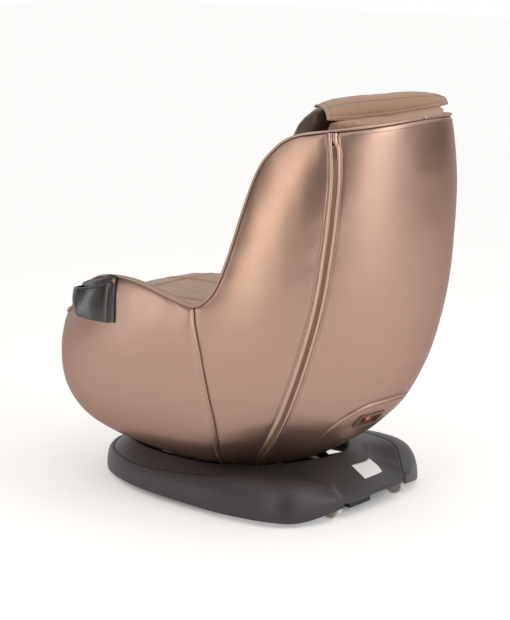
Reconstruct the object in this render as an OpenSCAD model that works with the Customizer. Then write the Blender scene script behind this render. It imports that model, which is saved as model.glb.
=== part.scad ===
// Massage armchair: an upholstered, egg-shaped seat body that tilts on a low wheeled base.
// Millimetres, +Z up, floor at z = 0. The front faces -Y and the sitter's left is +X.

/* [Body] */
// Width across the arms
body_w = 724; // [600:2:880]
// Depth from the front of the arms to the back
body_d = 950; // [790:5:1150]
// Height of the back panel's rim
body_h = 917; // [760:1:1110]
// Height of the arms at their highest point
arm_h = 540; // [500:1:600]
// Height of the saddle between arm and wing
dip_h = 503; // [480:1:530]
// Height of the front panel under the seat lip
front_h = 408; // [385:1:440]
// Thickness of the foam-backed cover panels
panel_t = 12; // [8:1:16]
// Width of the bronze band along the rim
band_w = 14; // [10:1:20]
// Depth of that band
band_h = 6; // [4:1:9]
// Radius of the piping in the seams
piping_r = 2.6; // [2:0.1:4]
// Width of each rear zip with its two welts
zip_w = 24; // [16:1:32]

/* [Seat] */
// Height of the seat cushion's crown
seat_h = 436; // [420:1:450]
// Half width between the arm pads
seat_half = 258; // [235:1:275]
// Half width between the wing pads
back_half = 238; // [215:1:250]
// Thickness of the seat board
board_t = 12; // [9:1:18]
// Thickness of the back cushion
back_t = 27; // [20:1:32]

/* [Base] */
// Height of the bottom edge of the side covers
skirt_z = 12; // [8:1:16]
// Wall of the base covers
cover_t = 3; // [2:0.5:4]
// Gap under the seat body at the front and sides
cradle_gap = 6.5; // [5.5:0.5:10]
// Gap under the seat body at the rear, where it moves down
rear_gap = 18; // [15:1:22]
// Diameter of the transport wheels
wheel_d = 50; // [40:1:56]
// Width of the transport wheels
wheel_w = 18; // [12:1:24]
// Distance between the transport wheels
wheel_track = 246; // [200:2:260]

/* [Tilt] */
// Greatest recline in degrees
tilt_max = 12; // [6:0.5:12]
// Radius of the tilt pivot pins
pivot_r = 8; // [6:0.5:10]
// Radial running clearance of every pin
run_gap = 0.06; // [0.02:0.01:0.1]

/* [Massage unit] */
// Radius of the guide rails
rail_r = 900; // [850:5:950]
// Half distance between the guide rails
rail_x = 170; // [160:1:185]
// Rest position of the carriage along the rails, in degrees
carriage_a = -24; // [-26:0.5:-20]
// Travel of the carriage in degrees
carriage_travel = 14; // [8:0.5:14]
// Gear module of racks and pinions
gear_m = 4; // [3:0.5:5]
// Teeth of each pinion
pinion_n = 12; // [10:1:14]
// Radius of the massage rollers
roller_r = 26; // [20:1:28]
// Width of the massage rollers
roller_w = 34; // [24:1:40]

/* [Hidden] */

leather = [0.70, 0.57, 0.51];
beige = [0.66, 0.54, 0.46];
brown = [0.24, 0.17, 0.13];
plastic = [0.24, 0.22, 0.23];
dark = [0.14, 0.12, 0.13];
steel = [0.62, 0.63, 0.65];

seam_gap = 0.7;
rim_gap = 0.5;
fit_gap = 0.4;
soft_gap = 0.5;
pan_z = 80;
pan_t = 3;

// ---- curves and grids ----

function lerp(a, b, t) = a + (b - a) * t;
function unit(v) = v / norm(v);
function span(t, x, i = 0) = i >= len(t) - 2 || x < t[i + 1][0] ? i : span(t, x, i + 1);
function slope(t, i) =
    let (a = t[max(i - 1, 0)], b = t[min(i + 1, len(t) - 1)])
    (b - a) / (b[0] - a[0]);
// Smooth row of a table whose first column is x, held at its two ends
function curve(t, x) =
    let (c = min(max(x, t[0][0]), t[len(t) - 1][0]), i = span(t, c),
         h = t[i + 1][0] - t[i][0], s = (c - t[i][0]) / h, s2 = s * s, s3 = s2 * s)
    (2 * s3 - 3 * s2 + 1) * t[i] + (s3 - 2 * s2 + s) * h * slope(t, i)
    + (3 * s2 - 2 * s3) * t[i + 1] + (s3 - s2) * h * slope(t, i + 1);
function bezier(a, b, c, t) = (1 - t) * (1 - t) * a + 2 * t * (1 - t) * b + t * t * c;

function quad(a, b, c, d) = [[a, b, c], [a, c, d]];
function sum(v) = v * [for (x = v) 1];
function reversed(v) = [for (i = [len(v) - 1 : -1 : 0]) v[i]];

// Polyhedron whose faces are turned outwards, whichever way round the points run
module solid(points, faces) {
    volume = sum([for (f = faces) sum([for (i = [1 : len(f) - 2])
        points[f[0]] * cross(points[f[i]], points[f[i + 1]])])]);
    polyhedron(points, volume > 0 ? [for (f = faces) reversed(f)] : faces);
}

// Closed solid through a list of loops of equal length; ring = true joins the last to the first
module loft(loops, ring = false) {
    n = len(loops);
    m = len(loops[0]);
    function p(r, c) = (r % n) * m + c % m;
    function fan(r) = [for (c = [1 : m - 2]) [p(r, 0), p(r, c), p(r, c + 1)]];
    sides = [for (r = [0 : ring ? n - 1 : n - 2], c = [0 : m - 1])
        each quad(p(r, c), p(r, c + 1), p(r + 1, c + 1), p(r + 1, c))];
    caps = ring ? [] : concat([for (f = fan(0)) reversed(f)], fan(n - 1));
    solid([for (l = loops) each l], concat(sides, caps));
}

// Closed solid between two grids of points that share rows and columns
module slab(outer, inner) {
    rows = len(outer);
    cols = len(outer[0]);
    function o(r, c) = r * cols + c;
    function i(r, c) = (rows + r) * cols + c;
    solid([for (r = outer) each r, for (r = inner) each r], concat(
        [for (r = [0 : rows - 2], c = [0 : cols - 2]) each concat(
            quad(o(r, c), o(r + 1, c), o(r + 1, c + 1), o(r, c + 1)),
            quad(i(r, c), i(r, c + 1), i(r + 1, c + 1), i(r + 1, c)))],
        [for (c = [0 : cols - 2]) each concat(
            quad(o(0, c), o(0, c + 1), i(0, c + 1), i(0, c)),
            quad(o(rows - 1, c + 1), o(rows - 1, c), i(rows - 1, c), i(rows - 1, c + 1)))],
        [for (r = [0 : rows - 2]) each concat(
            quad(o(r + 1, 0), o(r, 0), i(r, 0), i(r + 1, 0)),
            quad(o(r, cols - 1), o(r + 1, cols - 1), i(r + 1, cols - 1), i(r, cols - 1)))]));
}

module both_sides() {
    children();
    mirror([1, 0, 0]) children();
}

// ---- the egg: sections by height, for a body of 724 x 950 x 917 ----
// z, half width, front y, y of the widest point, rear y, squareness of front and rear
stations = [
    [80, 165, -300, -45, 130, 2.3, 2.0],
    [95, 205, -345, -45, 170, 2.4, 2.0],
    [125, 247, -412, -45, 222, 3.0, 2.0],
    [170, 290, -450, -35, 290, 3.4, 2.0],
    [240, 328, -470, -15, 360, 3.55, 2.0],
    [330, 352, -475, 20, 410, 3.3, 2.0],
    [430, 362, -467, 60, 442, 2.8, 2.0],
    [530, 358, -435, 100, 462, 2.8, 2.0],
    [640, 343, -345, 140, 473, 2.6, 2.0],
    [740, 320, -245, 170, 475, 2.4, 2.1],
    [830, 288, -145, 190, 473, 2.4, 2.2],
    [932, 236, -50, 215, 458, 2.4, 2.5]
];
kx = body_w / 724;
ky = body_d / 950;
kz = body_h / 917;

// Point of the cover at angle a round the body (0 = left side, -90 = front) and height z
function skin(a, z) =
    let (r = curve(stations, z / kz), front = sin(a) < 0, n = front ? r[5] : r[6],
         reach = front ? r[3] - r[2] : r[4] - r[3],
         rho = pow(pow(abs(cos(a)), n) + pow(abs(sin(a)), n), -1 / n))
    [kx * r[1] * cos(a) * rho, ky * (r[3] + reach * sin(a) * rho), z];
function skin_normal(a, z) =
    unit(cross(skin(a + 0.5, z) - skin(a - 0.5, z), skin(a, z + 1) - skin(a, z - 1)));
// The same point moved d inwards, square to the cover
function skin_in(a, z, d) = skin(a, z) - d * skin_normal(a, z);

// Seam curves: height to angle
dip_a = 1.9;
arm_seam = [[80, 24], [110, 23.7], [144, 23.2], [214, 20.9], [288, 16.8], [361, 12.3], [407, 9.2],
    [440, 6.5], [474, 3.7], [dip_h, dip_a]];
wing_edge = [[dip_h / kz, dip_a], [508, 3.7], [517, 5.1], [532, 6.8], [550, 7.7], [580, 8.3], [636, 8.4],
    [700, 8], [770, 7.8], [804, 8], [837, 9.6], [874, 14.6], [883, 16.8], [893, 22]];
zip_line = [[80, 47.5], [114, 46.1], [187, 44.8], [297, 45.2], [349, 45.7], [443, 46.6], [535, 46.8],
    [624, 46.2], [712, 45.2], [795, 43.4], [859, 40.3], [880, 38.2], [902, 37.1]];

function arm_a(z) = curve(arm_seam, z)[1];
function wing_a(z) = curve(wing_edge, z)[1];
function zip_a(z) = curve(zip_line, z / kz)[1];
function side_a(z) = z < dip_h ? arm_a(z) : wing_a(z / kz);
// Angle that covers length d along the cover at height z
function arc_deg(d, a, z) = d / norm(skin(a + 0.5, z) - skin(a - 0.5, z));

// Rim heights: over angle along the arms, over share of the way along wing and back
front_corner_a = -57;
arm_rim = [[-90, front_h], [front_corner_a, front_h], [-50, front_h + 2], [-46, lerp(front_h, arm_h, 0.12)],
    [-42, lerp(front_h, arm_h, 0.40)], [-38, lerp(front_h, arm_h, 0.72)], [-33, lerp(front_h, arm_h, 0.93)],
    [-27, arm_h], [-20, arm_h], [-14, arm_h - 8],
    [-7, lerp(dip_h, arm_h, 0.42)], [-2, dip_h + 6], [dip_a, dip_h]];
wing_top = 893 * kz;
zip_top = 902 * kz;
back_mid = body_h;
function arm_top(a) = curve(arm_rim, a)[1];
function back_top(u) = zip_top + (back_mid - zip_top) * sin(180 * u);

// The rim as points of angle and height: along an arm, up the wing and over half the back
rim_arm = concat(
    [for (a = [front_corner_a, -53, -48, -43, -38, -33, -28, -23, -18, -13, -8, -3.5, 0])
        [a, arm_top(a)]],
    [[dip_a, dip_h]]);
rim_wing = concat(
    [for (z = [506, 511, 518, 528, 542, 560, 590, 635, 690, 740, 785, 815, 838, 858, 872, 883])
        [wing_a(z), z * kz]],
    [[22, wing_top]]);
function back_rim(a) = lerp(wing_top, zip_top, (a - 22) / (zip_a(zip_top) - 22));
rim_back = concat(
    [for (a = [27, 32]) [a, back_rim(a)]],
    [for (i = [0 : 6]) [lerp(zip_a(zip_top), 180 - zip_a(zip_top), i / 12) - (i == 6 ? 0.05 : 0),
        back_top(i / 12)]]);
rim = concat(rim_arm, rim_wing, rim_back);
// Direction square to the rim at its point i, towards the panel below it, in millimetres round and up
function rim_side(i) =
    let (a = rim[max(i - 1, 0)], b = rim[min(i + 1, len(rim) - 1)], p = rim[i],
         t = unit([(b[0] - a[0]) / arc_deg(1, p[0], p[1]), b[1] - a[1]]))
    [t[1], -t[0]];
function rim_in(i, d) =
    let (n = rim_side(i), p = rim[i]) [p[0] + arc_deg(d * n[0], p[0], p[1]), p[1] + d * n[1]];
// The panels' edges under the band, as tables of height by angle and of angle by height
arm_edge = [for (i = [0 : len(rim_arm) - 1]) rim_in(i, band_h + rim_gap)];
wing_side = [for (i = [len(rim_arm) - 1 : len(rim_arm) + len(rim_wing) - 1])
    let (q = rim_in(i, band_h + rim_gap)) [q[1], q[0]]];

// One cover panel between two seam angles and two heights, with its columns at the shares us and
// its rows at the shares vs; turn(u) is the angle that each column gains towards its top
module cover(left, right, low, high, us, vs, turn = function(u) 0) {
    function at(u, v, depth) =
        let (z = lerp(low(u), high(u), v), a = lerp(left(z), right(z), u) + turn(u) * v * v)
        skin_in(a, z, depth);
    slab([for (v = vs) [for (u = us) at(u, v, 0)]], [for (v = vs) [for (u = us) at(u, v, panel_t)]]);
}
function shares(n) = [for (i = [0 : n]) i / n];
// Rows that neighbouring panels share, below and above the dip
dip_in = wing_side[0][0];
low_rows = [0, 0.04, 0.11, 0.2, 0.32, 0.46, 0.6, 0.74, 0.86, 0.95, 1];
high_rows = [0.12, 0.26, 0.41, 0.56, 0.71, 0.83, 0.92, 0.965, 1];
low_levels = [for (f = low_rows) lerp(pan_z, dip_in, f)];
function all_levels(top) = concat(low_levels, [for (f = high_rows) lerp(dip_in, top, f)]);
function row_shares(levels) =
    let (top = levels[len(levels) - 1]) [for (z = levels) (z - pan_z) / (top - pan_z)];

// ---- cover panels ----

module arm_panel() {
    left = function(z) front_corner_a + arc_deg(seam_gap, front_corner_a, z);
    right = function(z) arm_a(z) - arc_deg(piping_r, arm_a(z), z);
    first = left(front_h);
    final = right(dip_h - band_h);
    high = function(u) lookup(lerp(first, final, u), arm_edge);
    inside = [for (p = arm_edge) if (p[0] > first + 1 && p[0] < final - 1) (p[0] - first) / (final - first)];
    color(leather) cover(left, right, function(u) pan_z, high, concat([0], inside, [1]), low_rows,
        turn = function(u) lerp(first, final, u) - lerp(left(high(u)), right(high(u)), u));
}
module left_arm_panel() { arm_panel(); }
module right_arm_panel() { mirror([1, 0, 0]) arm_panel(); }

module front_panel() {
    color(leather) cover(
        left = function(z) -180 - front_corner_a + seam_gap,
        right = function(z) front_corner_a - 0.1,
        low = function(u) pan_z,
        high = function(u) front_h,
        us = shares(10), vs = low_rows);
}

module side_panel() {
    top = wing_top - band_h - rim_gap;
    levels = concat(low_levels, [for (q = wing_side) if (q[0] > dip_in && q[0] < top - 3) q[0]], [top]);
    color(leather) cover(
        left = function(z) z < dip_in ? arm_a(z) + arc_deg(piping_r, arm_a(z), z) : lookup(z, wing_side),
        right = function(z) zip_a(z) - arc_deg(zip_w / 2, zip_a(z), z),
        low = function(u) pan_z,
        high = function(u) lerp(wing_top, back_rim(zip_a(zip_top) - arc_deg(zip_w / 2, 40, zip_top)), u)
            - band_h - rim_gap,
        us = shares(7), vs = row_shares(levels));
}
module left_side_panel() { side_panel(); }
module right_side_panel() { mirror([1, 0, 0]) side_panel(); }

// Outline of the tail panel seen from behind, up to its arched seam; grown by d
tail_top = 266;
tail_half = 124;
tail_mid = 190;
tail_foot = [[-113, 150], [-95, 114], [-66, 84], [-60, pan_z - 4], [60, pan_z - 4], [66, 84], [95, 114],
    [113, 150]];
module tail_outline(d) {
    offset(delta = d) polygon(concat(
        [for (t = [0 : 10 : 180]) [tail_half * sign(cos(t)) * pow(abs(cos(t)), 0.72),
            tail_mid + (tail_top - tail_mid) * pow(sin(t), 0.72)]],
        tail_foot));
}
module tail_prism(d) { translate([0, 460, 0]) rotate([90, 0, 0]) linear_extrude(420) tail_outline(d); }
back_left = function(z) zip_a(z) + arc_deg(zip_w / 2, zip_a(z), z);
back_right = function(z) 180 - back_left(z);

module back_cover() {
    cover(back_left, back_right,
        low = function(u) pan_z,
        high = function(u) back_top(u) - band_h - rim_gap,
        us = shares(18), vs = row_shares(all_levels(zip_top - band_h - rim_gap)));
}
module back_panel() {
    color(leather) difference() {
        back_cover();
        tail_prism(seam_gap);
    }
}

// Service recess in the tail panel
service_a = 85.2;
service_z = 217;
service_w = 78;
service_h = 42;
service_at = skin(service_a, service_z);
service_n = skin_normal(service_a, service_z);
// Local frame of the recess: X along the module, Z out of the panel
module at_service() {
    pitch = acos(service_n[2]);
    yaw = atan2(service_n[1], service_n[0]);
    translate(service_at) rotate([0, pitch, yaw]) rotate([0, 0, 90]) children();
}

module tail_panel() {
    color(leather) difference() {
        intersection() {
            back_cover();
            tail_prism(0);
        }
        at_service() cube([service_w, service_h, 60], center = true);
    }
}

// ---- rim bands, piping and zips ----

function band_loop(i) =
    let (h = band_h - fit_gap, p = rim[i], m = rim_in(i, h / 2), e = rim_in(i, h))
    [skin(e[0], e[1]), skin_in(m[0], m[1], -1), skin_in(p[0], p[1], 2),
     skin_in(p[0], p[1], band_w - 2), skin_in(m[0], m[1], band_w), skin_in(e[0], e[1], band_w)];

module left_rim_band() { color(leather) loft([for (i = [0 : len(rim) - 1]) band_loop(i)]); }
module right_rim_band() { mirror([1, 0, 0]) left_rim_band(); }

// Round cord laid along a list of stations of angle and height
module cord_on_skin(path, r, depth, sides = 6) {
    points = [for (s = path) skin_in(s[0], s[1], depth)];
    last = len(points) - 1;
    loft([for (i = [0 : last])
        let (t = unit(points[min(i + 1, last)] - points[max(i - 1, 0)]),
             n = skin_normal(path[i][0], path[i][1]), b = unit(cross(t, n)), m = cross(b, t))
        [for (k = [0 : sides - 1]) points[i] + r * (cos(k * 360 / sides) * m + sin(k * 360 / sides) * b)]]);
}

module arm_piping() {
    color(leather) cord_on_skin(
        [for (z = concat([pan_z + 2], [for (i = [1 : len(low_levels) - 2]) low_levels[i]], [dip_in - 2]))
            [arm_a(z), z]], piping_r - 0.6, piping_r - 1.2);
}
module left_arm_piping() { arm_piping(); }
module right_arm_piping() { mirror([1, 0, 0]) arm_piping(); }

// Zip in a groove between two raised welts: share of the width to height above the cover
zip_profile = [[0, 0], [0.12, 4], [0.3, 4], [0.42, -4], [0.58, -4], [0.7, 4], [0.88, 4], [1, 0]];
module rear_zip() {
    levels = all_levels(zip_top - band_h - rim_gap - 1.5);
    function at(z, s, d) =
        let (c = zip_a(z), half = zip_w / 2 - seam_gap - 0.3)
        skin_in(c + arc_deg(lerp(-half, half, s), c, z), z, d);
    closed_from = 875 * kz;
    function rise(p, z) = z < closed_from ? p[1] : abs(p[1]) * 0.5;
    color(leather) slab([for (z = levels) [for (p = zip_profile) at(z, p[0], -rise(p, z))]],
         [for (z = levels) [for (p = zip_profile) at(z, p[0], panel_t)]]);
}
module left_rear_zip() { rear_zip(); }
module right_rear_zip() { mirror([1, 0, 0]) rear_zip(); }

// ---- upholstery inside the body ----

board_z = 330;
board_top = board_z + board_t;
split_y = 138;
// Angle of the cover at depth y and height z
function a_at_y(y, z) =
    let (r = curve(stations, z / kz), front = y / ky < r[3],
         s = (y / ky - r[3]) / (front ? r[3] - r[2] : r[4] - r[3]), n = front ? r[5] : r[6])
    atan2(s, pow(max(1 - pow(abs(s), n), 0.0001), 1 / n));
// Half width between the wing pads at height z
function wing_half(z) =
    curve([[500, back_half], [700, back_half], [830, back_half - 23], [900, back_half - 47]], z / kz)[1];

module arm_pad() {
    ys = [-352, -335, -300, -250, -190, -120, -50, 20, 80, 120, split_y - 1];
    function loop(y) =
        let (top = arm_top(a_at_y(y, 500)) - band_h - 1.5, o = skin_in(a_at_y(y, top), top, band_w + 2),
             wide = max(o[0] - seat_half, 2))
        concat(
            [for (z = [board_top + fit_gap, 385, 430, lerp(430, top, 0.6)])
                skin_in(a_at_y(y, z), z, panel_t + 3)],
            [for (f = [0.02, 0.2, 0.5, 0.8, 0.95])
                [o[0] - f * wide, o[1], top - 4 + 4 * sin(180 * f) - 24 * f]],
            [for (f = [0, 0.5, 1]) [seat_half, o[1], lerp(top - 44, board_top + fit_gap, f)]]);
    color(beige) loft([for (y = ys) loop(y)]);
}
module left_arm_pad() { arm_pad(); }
module right_arm_pad() { mirror([1, 0, 0]) arm_pad(); }

module wing_pad() {
    levels = [board_top + fit_gap, 400, 450, 490, 520, 560, 620, 680, 740, 790, 830, 860, 884];
    function loop(z0) =
        let (z = z0 > 500 ? z0 * kz : z0, inner = z0 > 500 ? wing_half(z) : seat_half,
             edge = skin(side_a(z), z)[1] + band_h + 2,
             front = z0 < 500 ? split_y + 0.6 : edge, rear = (z0 < 500 ? 300 : 325) * ky)
        concat(
            [for (t = [0, 0.25, 0.5, 0.75, 1]) let (y = lerp(front, rear, t))
                skin_in(a_at_y(y, z), z, panel_t + 2.5)],
            [[inner, rear, z], [inner, front + 4, z]],
            [for (f = [0.3, 0.7]) let (o = skin_in(a_at_y(front, z), z, band_w + 2.5))
                [lerp(inner, o[0], f), lerp(front, o[1], f) - (z0 > 540 ? 9 : 0) * sin(180 * f), z]]);
    color(beige) loft([for (z = levels) loop(z)]);
}
module left_wing_pad() { wing_pad(); }
module right_wing_pad() { mirror([1, 0, 0]) wing_pad(); }

module seat_cushion() {
    rear_y = 84;
    half = seat_half - soft_gap;
    // Rows of height, share of the plan, and how far the front corners follow the cover
    rows = [[board_top + fit_gap, 1], [360, 1], [394, 1], [414, 0.99], [seat_h - 9, 0.955],
        [seat_h - 3, 0.86], [seat_h, 0.62]];
    mid = [0, -150];
    function plan(z) = concat(
        [for (a = [-124 : 7 : -56]) let (p = skin_in(a, min(z, 400), panel_t + 2)) [p[0], p[1]]],
        [for (y = [-330, -200, -80, 20]) [half, y]],
        [for (x = [half, 120, -120, -half]) [x, rear_y]],
        [for (y = [20, -80, -200, -330]) [-half, y]]);
    function loop(row) = [for (p = plan(row[0]))
        let (q = lerp(mid, [max(min(p[0], half), -half), p[1]], row[1]),
             droop = 16 * pow(max(-300 - q[1], 0) / 150, 2) * (row[0] - rows[0][0]) / (seat_h - rows[0][0]))
        [q[0], q[1], row[0] - droop]];
    color(beige) loft([for (row = rows) loop(row)]);
}

// ---- the guide arc: parts are drawn upright at its height and turned about its centre ----

arc_y = -590;
arc_z = 860;
module on_arc(a) {
    translate([0, arc_y, arc_z]) rotate([a, 0, 0]) children();
}
// Point at half width x, radius r and angle a
function arc_point(x, r, a) = [x, arc_y + r * cos(a), arc_z + r * sin(a)];
// Bent bar of rectangular section, w wide along X and d deep, from angle a1 to a2
module arc_bar(x, r, w, d, a1, a2) {
    translate([x, arc_y, arc_z]) rotate([a1, 0, 0]) rotate([90, 0, 90])
        rotate_extrude(angle = a2 - a1, $fn = 180) translate([r, 0]) square([d, w], center = true);
}

cushion_r = rail_r - 74;
module back_cushion() {
    angles = [for (i = [0 : 9]) lerp(-31.2, -5.6, i / 9)];
    shares = [for (i = [-5 : 5]) i / 5];
    function half(a) = wing_half(arc_z + cushion_r * sin(a)) - soft_gap - 0.5;
    function crown(s, v) = (1 - pow(abs(s), 4)) * (1 - pow(abs(2 * v - 1), 6));
    front = [for (j = [0 : 9]) [for (s = shares)
        arc_point(s * half(angles[j]), cushion_r - back_t * (0.5 + 0.5 * crown(s, j / 9)), angles[j])]];
    rear = [for (j = [0 : 9]) [for (s = shares) arc_point(s * half(angles[j]), cushion_r, angles[j])]];
    color(beige) slab(front, rear);
}

top_front_y = 325.4;
module top_pad() {
    function rim(u) = let (a = lerp(zip_a(zip_top) + 2, 178 - zip_a(zip_top), u))
        skin_in(a, back_top(u) - 1, band_w + 0.2);
    function at(u, v, low) = let (r = rim(u), x = lerp(178, -178, u))
        [lerp(x, r[0], v), lerp(top_front_y, r[1], v),
         r[2] - lerp(16, 5, v) + 5 * sin(180 * v) * sin(180 * u) - (low ? 24 : 0)];
    color(beige) slab(
        [for (j = [0 : 4]) [for (i = [0 : 12]) at(i / 12, j / 4, false)]],
        [for (j = [0 : 4]) [for (i = [0 : 12]) at(i / 12, j / 4, true)]]);
}

// Head pillow: a bolster that leans back over the top and lies a little askew
pillow_half = 193;
pillow_y = 264;
pillow_z = 868;
module head_pillow() {
    function loop(s) =
        let (k = pow(1 - pow(abs(s), 6), 0.45), d = 13 + 35 * k, h = 52 + 26 * k)
        [for (i = [0 : 15]) let (t = i * 360 / 16)
            [s * pillow_half, pillow_y + d * cos(t) + 0.55 * h * sin(t),
             pillow_z + 10 * s - 6 * s * s + h * sin(t)]];
    color(brown) loft([for (s = [-1, -0.985, -0.94, -0.85, -0.7, -0.4, 0, 0.4, 0.7, 0.85, 0.94, 0.985, 1])
        loop(s)]);
}

// Flap sewn to the pillow's top: depth and height along it, from its front hem to its rear hem
flap_run = [[306, 952.1], [313, 954.2], [321, 956], [330, 957], [341, 954], [349, 945], [355, 931], [358, 915]];
flap_half = 210;
flap_t = 4;
module pillow_flap() {
    last = len(flap_run) - 1;
    function at(s, i, t) =
        let (a = flap_run[max(i - 1, 0)], b = flap_run[min(i + 1, last)], n = unit([b[1] - a[1], a[0] - b[0]]),
             rear = max(i - 4, 0) / 3, front = max(3 - i, 0) / 3)
        [s * flap_half, flap_run[i][0] + t * n[0] - 12 * s + 9 * s * s + front * 18 * pow(s, 4),
         flap_run[i][1] + t * n[1] + 5 * s - 11 * pow(s, 4) - front * 2 * s * s
             + rear * (16 * pow(s, 4) + 5 * s * s - 5 * s - 5)];
    color(beige) slab(
        [for (i = [0 : last]) [for (k = [-8 : 8]) at(k / 8, i, 0)]],
        [for (i = [0 : last]) [for (k = [-8 : 8]) at(k / 8, i, flap_t)]]);
}

// ---- base covers ----

// Station, outline x y z, joint line x y z, then angle and height of the cradle edge on the skin
base_stations = [
    [0, 0, -405, 0, 0, -385, 50, -90, 98],
    [1, 112, -390, 0, 105, -370, 50, -72, 98],
    [2, 205, -312, 0, 188, -306, 49, -50, 98],
    [3, 262, -170, 0, 243, -165, 50, -25, 98],
    [4, 287, 30, 0, 244, 30, 67, 5, 98],
    [5, 289, 140, 0, 222, 140, 85, 33, 103],
    [6, 268, 252, 0, 184, 257, 86, 55, 112],
    [7, 219, 305, 0, 133, 319, 54, 72, 121],
    [8, 112, 343, 18, 108, 341, 33, 82, 127],
    [9, 0, 345, 22, 0, 343, 33, 90, 128]
];
function base_outline(s) = let (r = curve(base_stations, s)) [kx * r[1], ky * r[2], skirt_z + r[3]];
function base_joint(s) = let (r = curve(base_stations, s)) [kx * r[4], ky * r[5], skirt_z + r[6]];
function cradle_drop(s) = lerp(cradle_gap, rear_gap, min(max((s - 5) / 3, 0), 1));
function base_edge(s) =
    let (r = curve(base_stations, s), p = skin(r[7], r[8])) [p[0], p[1], p[2] - cradle_drop(s)];
function flat_unit(v) = unit([v[0], v[1], 0]);
function inward(s) = s > 8.9 ? [0, -1, 0] : flat_unit(base_edge(s) - base_outline(s));
flange = 9;
lip = 13;
// At the front and sides the inner edge runs on as a bowl under the seat body
bowl_reach = 42;
bowl_drop = 13;

module base_center_cover() {
    function loop(s) =
        let (j = base_joint(s), e = base_edge(s), n = inward(s), down = [0, 0, -1],
             m = bezier(j, lerp(j, e, 0.55) + [0, 0, -2], e, 0.5),
             deep = 1 - min(max((s - 4.4) / 1.4, 0), 1),
             tip = e + lerp(lip, bowl_drop, deep) * down + lerp(1, bowl_reach, deep) * n,
             under = tip - lerp(1, 0.5, deep) * cover_t * n + 0.85 * deep * cover_t * down)
        [j + flange * down, j, m, e, tip, under,
         e - cover_t * n + cover_t * down, m + cover_t * down, j + cover_t * n + cover_t * down,
         j + cover_t * n + flange * down];
    stops = [0, 0.5, 1, 1.4, 1.8, 2.2, 2.6, 3, 3.5, 4, 4.5, 5, 5.4, 5.8, 6.2, 6.6, 7, 7.3, 7.6, 8, 8.4, 9];
    half = [for (s = stops) loop(s)];
    other = [for (i = [len(half) - 2 : -1 : 1]) [for (p = half[i]) [-p[0], p[1], p[2]]]];
    color(plastic) loft(concat(half, other), ring = true);
}

module base_side_cover() {
    function loop(s) =
        let (o = base_outline(s), n = inward(s), j = base_joint(s) - seam_gap * n,
             c = [o[0], o[1], skirt_z + 1.12 * (j[2] - skirt_z)], down = [0, 0, -1])
        [for (p = concat(
            [for (t = [0 : 0.2 : 1]) bezier(o, c, j, t)],
            [j + (flange - 2) * down, j - cover_t * n + (flange - 2) * down],
            [for (t = [0.92, 0.72, 0.5, 0.3, 0.15, 0])
                bezier(o, c, j, t) + cover_t * (1 - t) * n + cover_t * t * down]))
            [max(p[0], seam_gap / 2), p[1], p[2]]];
    color(plastic) loft([for (s = [0, 0.5, 1, 1.4, 1.8, 2.2, 2.6, 3, 3.5, 4, 4.5, 5, 5.4, 5.8,
        6.2, 6.6, 7, 7.3, 7.6, 7.93]) loop(s)]);
}
module base_left_cover() { base_side_cover(); }
module base_right_cover() { mirror([1, 0, 0]) base_side_cover(); }

// ---- base frame, feet and wheels ----

// Rectangular steel tube with its low corner at p and its length along axis 0, 1 or 2
tube_wall = 2;
module box_tube(p, size, axis) {
    skin_off = [for (i = [0 : 2]) i == axis ? -1 : tube_wall];
    translate(p) difference() {
        cube(size);
        translate(skin_off) cube(size - 2 * skin_off);
    }
}
frame_z = 14;
frame_h = 20;
rail_half = 118;
bar = 25;
front_bar_y = -352;
mid_bar_y = -163;
rear_bar_y = 206;
tail_bar_y = 240;
post_r = 6;

pivot_y = 205;
pivot_z = 80;
pivot_x = 95;
lug_t = 6;
ear_t = 5;
ear_gap = 0.5;

act_lower = [0, -150, 50];
act_upper = [0, -40, 300];
act_pin_r = 5;
act_eye_w = 16;

// Cover post under the middle of the centre cover's strip at station s
module cover_post(s) {
    e = base_edge(s);
    j = base_joint(s);
    m = bezier(j, lerp(j, e, 0.55) + [0, 0, -2], e, 0.5);
    translate([m[0], m[1], frame_z + 1] + (post_r + 2) * inward(s))
        cylinder(r = post_r, h = m[2] - cover_t - frame_z - 1 - 1.65, $fn = 32);
}
// Two ears with a round top and a bore, standing on a bar; w is the clear width between them
module clevis(at, w, t, r, bore, foot_z) {
    for (s = [-1, 1]) translate([at[0] + s * (w / 2 + t / 2), at[1], at[2]])
        rotate([90, 0, 90]) difference() {
            linear_extrude(t, center = true) hull() {
                circle(r, $fn = 48);
                translate([-r, foot_z - at[2]]) square([2 * r, 1]);
            }
            cylinder(r = bore, h = t + 2, center = true, $fn = 48);
        }
}

foot_r = 17;
foot_x = 205;
foot_front_x = 108;
foot_front_y = -340;

module base_frame() {
    color(steel) union() {
        for (s = [-1, 1]) box_tube([s * rail_half - bar / 2, front_bar_y, frame_z],
            [bar, tail_bar_y + bar - front_bar_y, frame_h], 1);
        box_tube([-150, front_bar_y, frame_z], [300, bar, frame_h], 0);
        box_tube([-rail_half, mid_bar_y, frame_z], [2 * rail_half, bar, frame_h], 0);
        box_tube([-foot_x - foot_r, rear_bar_y - bar / 2, frame_z],
            [2 * (foot_x + foot_r), bar, frame_h], 0);
        box_tube([-rail_half, tail_bar_y, frame_z], [2 * rail_half, bar, frame_h], 0);
        for (s = [-1, 1]) clevis([s * pivot_x, pivot_y, pivot_z], lug_t + 2 * ear_gap, ear_t, 13,
            pivot_r + run_gap, frame_z + frame_h - 1);
        clevis([act_lower[0], act_lower[1], act_lower[2]], act_eye_w + 2 * ear_gap, ear_t, 11,
            act_pin_r + run_gap, frame_z + frame_h - 1);
        both_sides() cover_post(0.9);
        both_sides() cover_post(5.95);
    }
}

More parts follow.
